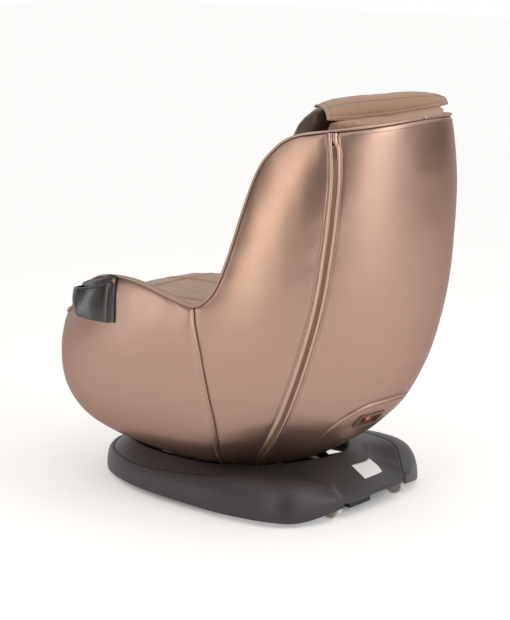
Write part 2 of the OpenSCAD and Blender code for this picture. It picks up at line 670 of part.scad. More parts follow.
module base_feet() {
    color(dark) for (s = [-1, 1]) {
        translate([s * foot_x, rear_bar_y, 0]) foot();
        translate([s * foot_front_x, front_bar_y + bar / 2, 0]) foot();
    }
}
module foot() {
    cylinder(r1 = foot_r - 2, r2 = foot_r, h = 4, $fn = 48);
    translate([0, 0, 4]) cylinder(r = foot_r, h = frame_z - 4, $fn = 48);
}

// Adjusting block that hangs under the tail, left of the middle
module rear_foot_block() {
    color(dark) translate([-20, tail_bar_y + bar + fit_gap, 8]) difference() {
        cube([77, 46, frame_z + frame_h - 8]);
        translate([8, 8, -1]) cube([61, 30, 18]);
    }
}

wheel_y = 308;
wheel_z = wheel_d / 2 + 1;
axle_r = 4;
bracket_t = 3;
module wheel_brackets() {
    span_w = wheel_w + 2;
    reach = wheel_y - tail_bar_y - bar;
    color(steel) for (s = [-1, 1]) translate([s * wheel_track / 2, 0, 0]) {
        for (e = [-1, 1]) translate([e * (span_w + bracket_t) / 2, wheel_y, wheel_z])
            rotate([90, 0, 90]) difference() {
                linear_extrude(bracket_t, center = true) hull() {
                    circle(8, $fn = 48);
                    translate([-reach + fit_gap, frame_z - wheel_z + 3]) square([3, frame_h - 3]);
                }
                cylinder(r = axle_r + run_gap, h = bracket_t + 2, center = true, $fn = 48);
            }
        translate([-span_w / 2 - bracket_t, tail_bar_y + bar + fit_gap, frame_z + 3])
            cube([span_w + 2 * bracket_t, 3, frame_h - 3]);
    }
}
module wheel() {
    color([0.85, 0.82, 0.74]) rotate([0, 90, 0]) {
        rotate_extrude($fn = 72) difference() {
            translate([0, -wheel_w / 2]) offset(2) offset(-2) square([wheel_d / 2, wheel_w]);
            translate([wheel_d / 2 - 9, wheel_w / 2 - 2.5]) square([4, 3]);
            translate([wheel_d / 2 - 9, -wheel_w / 2 - 0.5]) square([4, 3]);
            translate([-5, -wheel_w]) square([5, 2 * wheel_w]);
        }
        cylinder(r = axle_r, h = wheel_w + 2 + 2 * bracket_t + 2, center = true, $fn = 48);
    }
}
module left_wheel() { translate([wheel_track / 2, wheel_y, wheel_z]) wheel(); }
module right_wheel() { translate([-wheel_track / 2, wheel_y, wheel_z]) wheel(); }

module tilt_pins() {
    length = lug_t + 2 * ear_gap + 2 * ear_t;
    color(steel) for (s = [-1, 1]) translate([s * pivot_x, pivot_y, pivot_z]) rotate([0, 90, 0]) {
        cylinder(r = pivot_r, h = length, center = true, $fn = 48);
        for (e = [-1, 1]) translate([0, 0, e * (length / 2 + 1.5)])
            cylinder(r = pivot_r + 3, h = 3, center = true, $fn = 48);
    }
}

// ---- seat body structure ----

act_slot = [96, 204];
module bottom_pan() {
    outline = [for (a = [0 : 10 : 350]) let (p = skin(a, pan_z)) [p[0], p[1]]];
    color(dark) translate([0, 0, pan_z]) linear_extrude(pan_t) difference() {
        offset(delta = -2.4) polygon(outline);
        translate([-act_slot[0] / 2, act_lower[1] - act_slot[1] / 2 + 17]) square(act_slot);
    }
}

post_y = [-214, 62];
// Plate under the pan that turns on a base pin
module tilt_lug() {
    top = pan_z - fit_gap / 2;
    rotate([90, 0, 90]) difference() {
        linear_extrude(lug_t, center = true) union() {
            hull() {
                translate([pivot_y, pivot_z]) circle(13, $fn = 48);
                translate([128, top - 22]) circle(8, $fn = 32);
            }
            hull() {
                translate([128, top - 22]) circle(8, $fn = 32);
                translate([40, top - 10]) square([70, 10]);
            }
        }
        translate([pivot_y, pivot_z]) cylinder(r = pivot_r + run_gap, h = lug_t + 2, center = true, $fn = 48);
    }
}
module tilt_lugs() { color(steel) both_sides() translate([pivot_x, 0, 0]) tilt_lug(); }
upright_x = 200;
upright = 25;
module seat_frame() {
    z = board_z - bar;
    color(steel) union() {
        for (s = [-1, 1]) {
            box_tube([s * pivot_x - bar / 2, -380, z], [bar, 540, bar], 1);
            for (y = post_y) box_tube([s * pivot_x - bar / 2, y - bar / 2, pan_z + pan_t + 0.1],
                [bar, bar, z - pan_z - pan_t + 0.9], 2);
            arc_bar(s * upright_x, rail_r, upright, upright, -36.8, -3.2);
            for (a = [-30, -17, -5]) translate([0, arc_y, arc_z]) rotate([a, 0, 0])
                translate([s * (rail_x + 3.1 + 8), rail_r, 0]) cube([16, 16, 16], center = true);
        }
        for (y = [-330, act_upper[1] - bar / 2 - 22, 126]) box_tube([-upright_x - bar / 2, y, z],
            [2 * upright_x + bar, bar, bar], 0);
        on_arc(-4) translate([0, rail_r, 0]) cube([2 * upright_x, 20, 20], center = true);
        translate([0, act_upper[1], act_upper[2]]) upper_clevis();
    }
}
// Ears hung from the middle cross tube to the actuator's upper pin
module upper_clevis() {
    for (s = [-1, 1]) translate([s * (act_eye_w / 2 + ear_gap + ear_t / 2 + 1), 0, 0])
        rotate([90, 0, 90]) difference() {
            linear_extrude(ear_t, center = true) hull() {
                circle(11, $fn = 48);
                translate([-24, 6]) square([12, 22]);
            }
            cylinder(r = act_pin_r + run_gap, h = ear_t + 2, center = true, $fn = 48);
        }
}
module seat_board() {
    half = seat_half - soft_gap;
    color([0.72, 0.58, 0.40]) translate([0, 0, board_z]) linear_extrude(board_t) intersection() {
        polygon([for (a = [-150 : 10 : -30]) let (p = skin_in(a, board_z, panel_t + 4.6)) [p[0], p[1]],
            [half, 120], [-half, 120]]);
        translate([-half, -500]) square([2 * half, 1000]);
    }
}

// Racks and rails: one bent bar a side, toothed on its rear edge over the carriage's travel
rack_a = [-31, -4.7];
rack_r = rail_r + 15 + gear_m;
pinion_r = gear_m * pinion_n / 2;
shaft_r = rack_r + pinion_r;
tooth_step = 360 * gear_m / (2 * rack_r);
module guide_rails() {
    first = ceil((rack_a[0] + 1 - carriage_a) / tooth_step);
    final = floor((rack_a[1] - 1 - carriage_a) / tooth_step);
    root = rail_r + 14.5;
    color(steel) for (s = [-1, 1]) union() {
        arc_bar(s * rail_x, rail_r, 6, 30, rack_a[0], rack_a[1]);
        for (k = [first : final]) on_arc(carriage_a + k * tooth_step)
            translate([s * rail_x, 0, 0]) rotate([90, 0, 90]) linear_extrude(6, center = true)
                polygon([[root, -0.72 * gear_m], [rack_r + 0.85 * gear_m, -0.32 * gear_m],
                    [rack_r + 0.85 * gear_m, 0.32 * gear_m], [root, 0.72 * gear_m]]);
    }
}

// ---- tilt actuator ----

act_vec = act_upper - act_lower;
act_len = norm(act_vec);
act_a = atan2(act_vec[1], act_vec[2]);
tube_r = 22;
rod_r = 9;
module on_actuator() { translate(act_lower) rotate([-act_a, 0, 0]) children(); }
module actuator_tube() {
    tube_len = 175;
    color([0.30, 0.31, 0.33]) on_actuator() difference() {
        union() {
            rotate([0, 90, 0]) cylinder(r = 10, h = act_eye_w, center = true, $fn = 48);
            translate([-act_eye_w / 2, -7, 6]) cube([act_eye_w, 14, 16]);
            translate([0, 0, 20]) cylinder(r = tube_r, h = tube_len, $fn = 64);
            // Gearbox and motor beside the tube
            translate([-18, 0, 20]) cube([36, 58, 34]);
            translate([0, 42, 54]) cylinder(r = 17, h = 84, $fn = 64);
        }
        rotate([0, 90, 0]) cylinder(r = act_pin_r + run_gap, h = act_eye_w + 2, center = true, $fn = 48);
        translate([0, 0, 40]) cylinder(r = rod_r + run_gap, h = tube_len, $fn = 48);
    }
}
module actuator_rod() {
    open_gap = 1.2;
    color([0.80, 0.81, 0.83]) on_actuator() difference() {
        union() {
            translate([0, 0, 60]) cylinder(r = rod_r, h = act_len - 60 - 8, $fn = 48);
            translate([0, 0, act_len]) rotate([0, 90, 0])
                cylinder(r = act_pin_r + 5.5, h = act_eye_w, center = true, $fn = 48);
        }
        translate([0, 0, act_len]) rotate([0, 90, 0])
            cylinder(r = act_pin_r + open_gap, h = act_eye_w + 2, center = true, $fn = 48);
    }
}
module actuator_lower_pin() {
    color(steel) translate(act_lower) rotate([0, 90, 0])
        cylinder(r = act_pin_r, h = act_eye_w + 2 * ear_gap + 2 * ear_t, center = true, $fn = 48);
}
module actuator_upper_pin() {
    color(steel) translate(act_upper) rotate([0, 90, 0])
        cylinder(r = act_pin_r, h = act_eye_w + 2 * ear_gap + 2 * ear_t + 2, center = true, $fn = 48);
}

// ---- massage unit, drawn at arc angle 0 and turned to its rest position ----

plate_t = 4;
plate_x = 140;
arm_r = 905;
arm_x = 58;
roller_reach = 43;
roller_half = 55;
arm_shaft_r = 6;
drive_r = 6;
module on_carriage() { on_arc(carriage_a) children(); }

module carriage_plate() {
    rotate([90, 0, 90]) difference() {
        linear_extrude(plate_t, center = true) offset(8, $fn = 32) offset(-8)
            translate([arm_r - 22, -62]) square([shaft_r + 18 - arm_r + 22, 124]);
        translate([arm_r, 0]) cylinder(r = arm_shaft_r + run_gap, h = plate_t + 2, center = true, $fn = 48);
        translate([shaft_r, 0]) cylinder(r = drive_r + run_gap, h = plate_t + 2, center = true, $fn = 48);
    }
}
// Shoe that runs along the inside face of a rail, on an arm from the side plate
module guide_shoe(t) {
    inner = plate_x + plate_t / 2 - 0.5;
    translate([inner, rail_r - 13, t - 8]) cube([rail_x - 3 - 0.3 - inner, 26, 16]);
}
module carriage_frame() {
    color([0.45, 0.46, 0.48]) on_carriage() union() {
        both_sides() {
            translate([plate_x, 0, 0]) carriage_plate();
            for (t = [-46, 46]) guide_shoe(t);
        }
        for (t = [-58, 52]) translate([-plate_x - 1, shaft_r + 6, t]) cube([2 * plate_x + 2, 8, 6]);
        translate([-plate_x - 1, shaft_r + 14, -50]) cube([2 * plate_x + 2, 3, 100]);
        translate([-plate_x - 1, shaft_r + 6, -58]) cube([2 * plate_x + 2, 8.5, 8]);
        translate([-plate_x - 1, shaft_r + 6, 50]) cube([2 * plate_x + 2, 8.5, 8]);
    }
}
module carriage_motor() {
    face = shaft_r + 17 + fit_gap;
    color(dark) on_carriage() union() {
        translate([-40, face, -32]) cube([80, 34, 64]);
        translate([40, face + 17, 0]) rotate([0, 90, 0]) cylinder(r = 19 - 3, h = 74, $fn = 64);
    }
}
module drive_shaft() {
    length = 2 * (rail_x + 8);
    color(steel) on_carriage() translate([0, shaft_r, 0]) rotate([0, 90, 0]) union() {
        cylinder(r = drive_r, h = length, center = true, $fn = 48);
        for (s = [-1, 1]) translate([0, 0, s * rail_x]) pinion();
    }
}
module pinion() {
    step = 360 / pinion_n;
    base = pinion_r - 1.05 * gear_m;
    // A tooth space faces the rack
    linear_extrude(10, center = true) union() {
        circle(base, $fn = 48);
        for (k = [0 : pinion_n - 1]) rotate(90 + (k + 0.5) * step)
            polygon([[base - 1, -0.85 * gear_m], [pinion_r, -0.68 * gear_m],
                [pinion_r + 0.75 * gear_m, -0.28 * gear_m], [pinion_r + 0.75 * gear_m, 0.28 * gear_m],
                [pinion_r, 0.68 * gear_m], [base - 1, 0.85 * gear_m]]);
    }
}
module arm_shaft() {
    color(steel) on_carriage() translate([0, arm_r, 0]) rotate([0, 90, 0])
        cylinder(r = arm_shaft_r, h = 2 * plate_x + plate_t, center = true, $fn = 48);
}
// Forked arm with a hub on the shaft and a pin for each roller
module massage_arm() {
    t = 8;
    pin_r = 5;
    color([0.25, 0.26, 0.28]) on_carriage() translate([arm_x, arm_r, 0]) {
        rotate([90, 0, 90]) difference() {
            union() {
                cylinder(r = 15, h = 24, center = true, $fn = 48);
                linear_extrude(t, center = true) for (s = [-1, 1]) hull() {
                    circle(13, $fn = 48);
                    translate([-roller_reach, s * roller_half]) circle(9, $fn = 32);
                }
                for (s = [-1, 1]) translate([-roller_reach, s * roller_half, 0])
                    cylinder(r = pin_r, h = t / 2 + roller_w + 4, $fn = 48);
            }
            cylinder(r = arm_shaft_r + run_gap, h = 30, center = true, $fn = 48);
        }
    }
}
module left_massage_arm() { massage_arm(); }
module right_massage_arm() { mirror([1, 0, 0]) massage_arm(); }

module roller(side) {
    color([0.78, 0.74, 0.66]) on_carriage()
        translate([arm_x + 4 + 1 + roller_w / 2, arm_r - roller_reach, side * roller_half])
        rotate([0, 90, 0]) rotate_extrude($fn = 72) difference() {
            hull() {
                translate([roller_r - 9, roller_w / 2 - 9]) circle(9, $fn = 32);
                translate([roller_r - 9, 9 - roller_w / 2]) circle(9, $fn = 32);
                translate([0, -roller_w / 2]) square([8, roller_w]);
            }
            translate([-9, -roller_w]) square([9 + 5 + run_gap, 2 * roller_w]);
        }
}
module left_upper_roller() { roller(1); }
module left_lower_roller() { roller(-1); }
module right_upper_roller() { mirror([1, 0, 0]) roller(1); }
module right_lower_roller() { mirror([1, 0, 0]) roller(-1); }

// ---- electrics inside the body ----

module ribbed_case(size, ribs) {
    difference() {
        cube(size);
        for (k = [1 : ribs]) translate([k * size[0] / (ribs + 1) - 1.5, -1, size[2] - 2])
            cube([3, size[1] + 2, 3]);
    }
}
case_z = pan_z + pan_t + 0.2;
module control_box() { color(dark) translate([-62, 30, case_z]) ribbed_case([124, 66, 46], 9); }
module power_supply() { color([0.66, 0.67, 0.69]) translate([-60, -262, case_z]) ribbed_case([120, 34, 60], 7); }
module air_pump() {
    color(dark) translate([-78, -60, board_z - bar - 0.3]) union() {
        translate([-30, -40, -52]) cube([60, 80, 52]);
        translate([0, -40, -26]) rotate([90, 0, 0]) cylinder(r = 20, h = 40, $fn = 48);
        for (x = [-14, 14]) translate([x, 38, -26]) rotate([-90, 0, 0]) cylinder(r = 5, h = 18, $fn = 32);
    }
}

// ---- power inlet and switch in the tail panel ----

inlet_x = -19;
switch_x = 5;
switch_pin_r = 1.5;
switch_axis_z = -11;
module service_bezel() {
    color(dark) at_service() difference() {
        translate([-service_w / 2 + fit_gap, -service_h / 2 + fit_gap, -14])
            cube([service_w - 2 * fit_gap, service_h - 2 * fit_gap, 15]);
        translate([-service_w / 2 + 5, -service_h / 2 + 5, -8]) cube([service_w - 10, service_h - 10, 12]);
        translate([inlet_x - 14.3, -11.3, -15]) cube([28.6, 22.6, 10]);
        translate([switch_x - 7.3, -10.9, -15]) cube([14.6, 21.8, 10]);
        translate([switch_x, 0, switch_axis_z]) rotate([0, 90, 0])
            cylinder(r = switch_pin_r + run_gap, h = 18.6, center = true, $fn = 32);
    }
}
module power_inlet() {
    color([0.08, 0.08, 0.09]) at_service() translate([inlet_x, 0, 0]) union() {
        difference() {
            translate([-14, -11, -30]) cube([28, 22, 24]);
            translate([0, 0, -24]) linear_extrude(20)
                polygon([[-12, -8], [12, -8], [12, 4], [8, 8], [-8, 8], [-12, 4]]);
        }
        for (x = [-7, 0, 7]) translate([x - 1, (x == 0 ? 3 : -1) - 2, -25]) cube([2, 4, 14]);
    }
}
module power_switch() {
    color([0.75, 0.08, 0.06]) at_service() translate([switch_x, 0, switch_axis_z])
        rotate([-7, 0, 0]) rotate([90, 0, 90]) union() {
            linear_extrude(13.6, center = true)
                polygon([[-9.6, 5.6], [0, 3.6], [9.6, 5.6], [9.2, -1.5], [4, -6], [-4, -6], [-9.2, -1.5]]);
            cylinder(r = switch_pin_r, h = 18, center = true, $fn = 32);
        }
}

// ---- side pocket on the left arm ----

pocket_y = [-285, -160];
pocket_z = 427;
pocket_wall = 2.4;
// Share of the way back along the pocket: outer wall's reach from the cover, outer and inner rims
pocket_shape = [[0, 0.6, 492, 497], [0.05, 20, 489, 500], [0.12, 32, 488, 503], [0.25, 34, 490, 509],
    [0.4, 30, 494, 514], [0.6, 24, 500, 521], [0.8, 16, 508, 529], [0.93, 9, 515, 535],
    [1, 0.6, 520, 537]];
module side_pocket() {
    us = [for (row = pocket_shape) row[0]];
    function wall(u, z, t, reach) =
        let (taper = 14 * (1 - min(max((z - pocket_z) / 40, 0), 1)),
             y = lerp(pocket_y[0] + t + taper, pocket_y[1] - t, u))
        skin_in(a_at_y(y, z), z, -reach);
    // Loop at level v, from 0 at the floor to 1 at the rims, with the outer wall t inside its face
    function loop(v, t, lift = 0) = concat(
        [for (u = us) let (row = curve(pocket_shape, u))
            wall(u, lerp(pocket_z, row[2], v) + lift, t, max(row[1] - t, 1.6 + t))],
        [for (u = reversed(us)) let (row = curve(pocket_shape, u))
            wall(u, lerp(pocket_z, row[3], v) + lift, t, 1.4 + t)]);
    color(dark) loft([loop(0, 4), loop(0, 0, 1.5), loop(0.5, 0), loop(1, 0),
        loop(1, pocket_wall, -0.4), loop(0.5, pocket_wall), loop(0, pocket_wall, pocket_wall + 1),
        loop(0, 4, pocket_wall)]);
}
strap_y = -151;
module pocket_strap() {
    rows = [430, 450, 475, 500, 518, arm_top(a_at_y(strap_y, 530)) - 2];
    function at(s, z, d) = skin_in(a_at_y(strap_y + 7 * s, z), z, d);
    color(dark) slab([for (z = rows) [for (s = [-1, 0, 1]) at(s, z, -4)]],
        [for (z = rows) [for (s = [-1, 0, 1]) at(s, z, -1.5)]]);
}
module pocket_stud() {
    z = 526;
    a = a_at_y(strap_y, z);
    n = skin_normal(a, z);
    color([0.85, 0.86, 0.88]) translate(skin_in(a, z, -4.2))
        rotate([0, acos(n[2]), atan2(n[1], n[0])]) rotate_extrude($fn = 48)
            intersection() {
                translate([0, -4.5]) circle(7.5, $fn = 48);
                square([6, 4]);
            }
}

base_frame();
base_center_cover();
base_left_cover();
base_right_cover();
base_feet();
rear_foot_block();
wheel_brackets();
left_wheel();
right_wheel();
tilt_pins();
bottom_pan();
tilt_lugs();
seat_frame();
seat_board();
guide_rails();
left_arm_panel();
right_arm_panel();
front_panel();
left_side_panel();
right_side_panel();
back_panel();
tail_panel();
left_rim_band();
right_rim_band();
left_arm_piping();
right_arm_piping();
left_rear_zip();
right_rear_zip();
left_arm_pad();
right_arm_pad();
left_wing_pad();
right_wing_pad();
seat_cushion();
back_cushion();
top_pad();
head_pillow();
pillow_flap();
service_bezel();
power_inlet();
power_switch();
side_pocket();
pocket_strap();
pocket_stud();
actuator_tube();
actuator_rod();
actuator_lower_pin();
actuator_upper_pin();
carriage_frame();
carriage_motor();
drive_shaft();
arm_shaft();
left_massage_arm();
right_massage_arm();
left_upper_roller();
left_lower_roller();
right_upper_roller();
right_lower_roller();
control_box();
power_supply();
air_pump();
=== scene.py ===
"""Looks for the massage armchair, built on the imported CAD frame.

Metres, +Z up, floor at z = 0. The front of the seat faces -Y and the sitter's left is +X.
Shapes are worked out in millimetres, as in the part's source, and turned into metres by grid().
"""
import math

import bmesh
import bpy
import numpy as np
from mathutils import Matrix, Vector


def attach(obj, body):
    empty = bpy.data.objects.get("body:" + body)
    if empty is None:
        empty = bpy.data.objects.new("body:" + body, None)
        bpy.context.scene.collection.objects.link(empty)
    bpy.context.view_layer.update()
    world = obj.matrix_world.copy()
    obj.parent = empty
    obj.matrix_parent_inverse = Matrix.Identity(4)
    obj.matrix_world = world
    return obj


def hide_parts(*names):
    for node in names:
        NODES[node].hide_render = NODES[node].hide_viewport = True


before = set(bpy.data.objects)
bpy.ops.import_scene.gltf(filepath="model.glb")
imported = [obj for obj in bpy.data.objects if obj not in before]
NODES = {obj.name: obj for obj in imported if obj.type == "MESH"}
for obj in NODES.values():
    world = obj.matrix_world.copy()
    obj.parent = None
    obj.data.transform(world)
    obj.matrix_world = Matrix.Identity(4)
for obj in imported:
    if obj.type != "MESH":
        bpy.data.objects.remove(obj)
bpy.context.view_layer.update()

MM = 0.001

# ---- camera, lights and stage ----

CAMERA_AT = (3.5822, 2.9547, 1.4312)
CAMERA_AZIMUTH = math.radians(129.71)
CAMERA_PITCH = math.radians(12.271)
SENSOR = 36.0
FOCAL_PX = 2000
LONG_SIDE_PX = 620


def linked(name, data):
    obj = bpy.data.objects.new(name, data)
    bpy.context.scene.collection.objects.link(obj)
    return obj


def aimed(name, data, at, towards):
    """A camera or lamp at a point, looking along a direction."""
    obj = linked(name, data)
    obj.location = at
    obj.rotation_euler = Vector(towards).to_track_quat("-Z", "Y").to_euler()
    return obj


def make_camera():
    data = bpy.data.cameras.new("camera")
    data.sensor_width = SENSOR
    data.lens = FOCAL_PX * SENSOR / LONG_SIDE_PX
    level = math.cos(CAMERA_PITCH)
    towards = (-math.sin(CAMERA_AZIMUTH) * level, math.cos(CAMERA_AZIMUTH) * level, -math.sin(CAMERA_PITCH))
    bpy.context.scene.camera = aimed("camera", data, CAMERA_AT, towards)


class Nodes:
    """A node tree that is built one node at a time."""

    def __init__(self, owner, empty=True):
        owner.use_nodes = True
        self.tree = owner.node_tree
        if empty:
            self.tree.nodes.clear()

    def add(self, kind, inputs=None, **props):
        """A new node; each input named or numbered is given a value or linked to an output."""
        node = self.tree.nodes.new("ShaderNode" + kind)
        for key, value in props.items():
            setattr(node, key, value)
        for key, given in (inputs or {}).items():
            if isinstance(given, bpy.types.NodeSocket):
                self.tree.links.new(given, node.inputs[key])
            else:
                node.inputs[key].default_value = given
        return node

    def maths(self, operation, a, b):
        return self.add("Math", {0: a, 1: b}, operation=operation).outputs[0]


def seen_directly(nodes):
    """1 on camera, glossy and transmission rays, which see the background white."""
    ray = nodes.add("LightPath").outputs
    shown = nodes.maths("MAXIMUM", ray["Is Camera Ray"], ray["Is Glossy Ray"])
    return nodes.maths("MAXIMUM", shown, ray["Is Transmission Ray"])


AMBIENT = 0.80
FLOOR_LIFT = 0.36
FLOOR_REACH = 14.0
# Oval under the base inside which the floor's extra white is taken away: a painted shadow
SHADOW_OVAL_SHIFT = (0, 0.1, 0)
SHADOW_OVAL_SCALE = (1 / 0.28, 1 / 0.36, 0)
CHAIR_MIDDLE = Vector((0, 0, 0.5))


def make_world():
    world = bpy.data.worlds.new("studio")
    bpy.context.scene.world = world
    nodes = Nodes(world)
    ambient = nodes.add("Background", {"Color": (1.0, 0.985, 0.97, 1), "Strength": AMBIENT})
    white = nodes.add("Background", {"Color": (1, 1, 1, 1)})
    mix = nodes.add("MixShader", {"Fac": seen_directly(nodes), 1: ambient.outputs[0], 2: white.outputs[0]})
    nodes.add("OutputWorld", {"Surface": mix.outputs[0]})


def stage_object(name, points, faces, mat):
    mesh = bpy.data.meshes.new(name)
    mesh.from_pydata(points, [], faces)
    mesh.materials.append(mat)
    return linked(name, mesh)


def floor_lift(nodes):
    """Extra white of the floor, which falls away under the base inside an oval of its outline, as a painted
    shadow.
    """
    where = nodes.add("TexCoord").outputs["Object"]
    oval = nodes.add("Mapping", {"Vector": where, "Location": SHADOW_OVAL_SHIFT, "Scale": SHADOW_OVAL_SCALE})
    away = nodes.add("VectorMath", {0: oval.outputs["Vector"]}, operation="LENGTH")
    # 0 in the painted shadow under the base, 1 on the open floor
    unshadowed_share = nodes.add("MapRange", {"Value": away.outputs["Value"], "From Min": 0.80, "From Max": 1.05})
    amount = nodes.maths("MULTIPLY", seen_directly(nodes), FLOOR_LIFT)
    return nodes.maths("MULTIPLY", unshadowed_share.outputs["Result"], amount)


def make_floor():
    mat = bpy.data.materials.new("floor")
    nodes = Nodes(mat)
    diffuse = nodes.add("BsdfDiffuse", {"Color": (0.78, 0.775, 0.765, 1)})
    lift = nodes.add("Emission", {"Color": (1, 1, 1, 1), "Strength": floor_lift(nodes)})
    both = nodes.add("AddShader", {0: diffuse.outputs[0], 1: lift.outputs[0]})
    nodes.add("OutputMaterial", {"Surface": both.outputs[0]})
    corners = [(x, y, 0) for x, y in ((-1, -1), (1, -1), (1, 1), (-1, 1))]
    points = [tuple(FLOOR_REACH * v for v in corner) for corner in corners]
    stage_object("floor", points, [(0, 1, 2, 3)], mat)


def make_flag(name, azimuths, reach, low, high, colour):
    """Dark cloth on stands, out of the camera's sight, which puts a shaded band into the reflections."""
    turns = np.radians(np.linspace(*azimuths, 25))
    points = [(reach * math.cos(a), reach * math.sin(a), z) for a in turns for z in (low, high)]
    faces = [(2 * k, 2 * k + 2, 2 * k + 3, 2 * k + 1) for k in range(len(turns) - 1)]
    flag = stage_object(name, points, faces, Shader(name, colour, 0.9).mat)
    flag.visible_camera = False


def softbox(name, azimuth, elevation, reach, size, power, colour=(1, 1, 1)):
    """An area light at an angle round the chair's middle, aimed at it."""
    data = bpy.data.lights.new(name, "AREA")
    data.shape = "RECTANGLE"
    data.size, data.size_y = size
    data.energy = power
    data.color = colour
    a, e = math.radians(azimuth), math.radians(elevation)
    out = Vector((math.cos(a) * math.cos(e), math.sin(a) * math.cos(e), math.sin(e)))
    aimed(name, data, CHAIR_MIDDLE + reach * out, -out)


def make_studio():
    bpy.context.scene.view_settings.view_transform = "Standard"
    make_world()
    make_floor()
    make_flag("near_flag", (-72, 70), 6.2, 0.02, 4.2, (0.05, 0.026, 0.018))
    make_flag("far_flag", (125, 172), 6.2, 0.02, 2.2, (0.14, 0.11, 0.09))
    softbox("side_box", 7, 12, 3.3, (1.4, 2.8), 36, (1, 0.92, 0.84))
    softbox("rear_box", 86, 8, 3.3, (1.7, 2.4), 17, (1, 0.98, 0.96))
    softbox("rear_top_box", 106, 28, 3.6, (1.8, 1.2), 16)
    softbox("arm_box", -42, -2, 3.3, (0.7, 1.4), 11)
    softbox("top_box", 100, 75, 3.0, (1.6, 1.6), 10)


# ---- materials ----

class Shader(Nodes):
    """A material's nodes, added one by one; coordinates are the piece's own, in metres."""

    def __init__(self, name, colour, roughness, metallic=0.0, **sockets):
        self.mat = bpy.data.materials.new(name)
        super().__init__(self.mat, empty=False)
        self.bsdf = self.tree.nodes["Principled BSDF"]
        fixed = {"Base_Color": (*colour, 1), "Roughness": roughness, "Metallic": metallic, **sockets}
        for key, value in fixed.items():
            self.bsdf.inputs[key.replace("_", " ")].default_value = value
        self.where = self.add("TexCoord").outputs["Object"]
        self.normal = None

    def noise(self, scale, detail=3.0, rough=0.55, stretch=(1, 1, 1), warp=0.0):
        space = self.add("Mapping", {"Vector": self.where, "Scale": stretch}).outputs["Vector"]
        return self.add("TexNoise", {"Vector": space, "Scale": scale, "Detail": detail, "Roughness": rough,
                                     "Distortion": warp}).outputs["Fac"]

    def cells(self, scale):
        return self.add("TexVoronoi", {"Vector": self.where, "Scale": scale},
                        feature="DISTANCE_TO_EDGE").outputs["Distance"]

    def waves(self, scale, direction):
        return self.add("TexWave", {"Vector": self.where, "Scale": scale},
                        bands_direction=direction).outputs["Fac"]

    def ramp(self, value, stops):
        node = self.add("ValToRGB", {"Fac": value})
        elements = node.color_ramp.elements
        while len(elements) < len(stops):
            elements.new(0.5)
        for element, (at, colour) in zip(elements, stops):
            element.position = at
            element.color = (*colour, 1)
        return node.outputs["Color"]

    def mixed(self, value, a, b):
        """Colour from a to b as value goes from 0 to 1."""
        a, b = ((*given, 1) if isinstance(given, tuple) else given for given in (a, b))
        return self.add("Mix", {"Factor": value, 6: a, 7: b}, data_type="RGBA").outputs[2]

    def between(self, value, low, high):
        return self.add("MapRange", {"Value": value, "To Min": low, "To Max": high}).outputs["Result"]

    def bump(self, height, depth, strength):
        """Raises the surface by up to depth metres where height is 1, on top of earlier bumps."""
        inputs = {"Strength": strength, "Distance": depth, "Height": height}
        if self.normal is not None:
            inputs["Normal"] = self.normal
        self.normal = self.add("Bump", inputs).outputs["Normal"]
        self.tree.links.new(self.normal, self.bsdf.inputs["Normal"])

    def colour(self, output):
        self.tree.links.new(output, self.bsdf.inputs["Base Color"])

    def roughness(self, output):
        self.tree.links.new(output, self.bsdf.inputs["Roughness"])


def bronze_leather():
    """Pearly coated leather with a fine level rib, whose crowns are painted lighter as a highlight; seam edges,
    bands and welts are painted lighter as a highlight too.
    """
    s = Shader("bronze_leather", (0.42, 0.275, 0.22), 0.36, 0.92, Specular_Tint=(0.5, 0.38, 0.38, 1),
               Coat_Weight=0.22, Coat_Roughness=0.32)
    cloud = s.noise(2.2, 3, 0.5)
    streak = s.noise(1.0, 4, 0.6, stretch=(16, 16, 520))
    base = s.mixed(cloud, (0.370, 0.234, 0.178), (0.435, 0.281, 0.220))
    # Painted highlight: lighter towards the seams and on bands and welts, by the seam attribute
    seam = s.add("Attribute", attribute_name="seam").outputs["Fac"]
    seam_highlighted = s.mixed(seam, base, (0.50, 0.355, 0.295))
    # Painted highlight: lighter on the crowns of the fine ribs, where the rib bump rises
    s.colour(s.mixed(s.between(streak, 0.0, 0.30), seam_highlighted, (0.55, 0.40, 0.34)))
    s.roughness(s.between(s.noise(30, 4, 0.6), 0.31, 0.42))
    s.bump(s.noise(9, 3, 0.5), 0.0016, 0.35)
    s.bump(s.cells(520), 0.00012, 0.5)
    s.bump(streak, 0.00028, 0.55)
    return s.mat


def smooth_leather(name, colour, light, rough=0.5, grain=330, metallic=0.0):
    """Soft pebbled leather, lighter on its crowns: the creases between the pebbles are painted darker as shade.
    """
    s = Shader(name, colour, rough, metallic, Specular_IOR_Level=0.35)
    cloud = s.noise(5, 4, 0.55)
    base = s.mixed(cloud, colour, light)
    pebble = s.cells(grain)
    # Painted shade: darker towards the creases between the pebbles
    s.colour(s.mixed(s.between(pebble, 0.15, 0.0), base, tuple(0.62 * c for c in colour)))
    s.roughness(s.between(s.noise(24, 4, 0.6), rough - 0.07, rough + 0.1))
    s.bump(s.noise(14, 4, 0.55, warp=0.4), 0.0022, 0.4)
    s.bump(pebble, 0.00022, 0.6)
    return s.mat


def patent_leather(name, colour, light):
    """Shiny coated cloth with soft creases."""
    s = Shader(name, colour, 0.3, 0.0, Coat_Weight=0.5, Coat_Roughness=0.16)
    s.colour(s.mixed(s.noise(16, 4, 0.6), colour, light))
    s.roughness(s.between(s.noise(45, 4, 0.6), 0.24, 0.42))
    s.bump(s.noise(18, 4, 0.6, stretch=(1.6, 1.6, 0.5), warp=0.8), 0.004, 0.5)
    s.bump(s.cells(420), 0.00012, 0.5)
    return s.mat


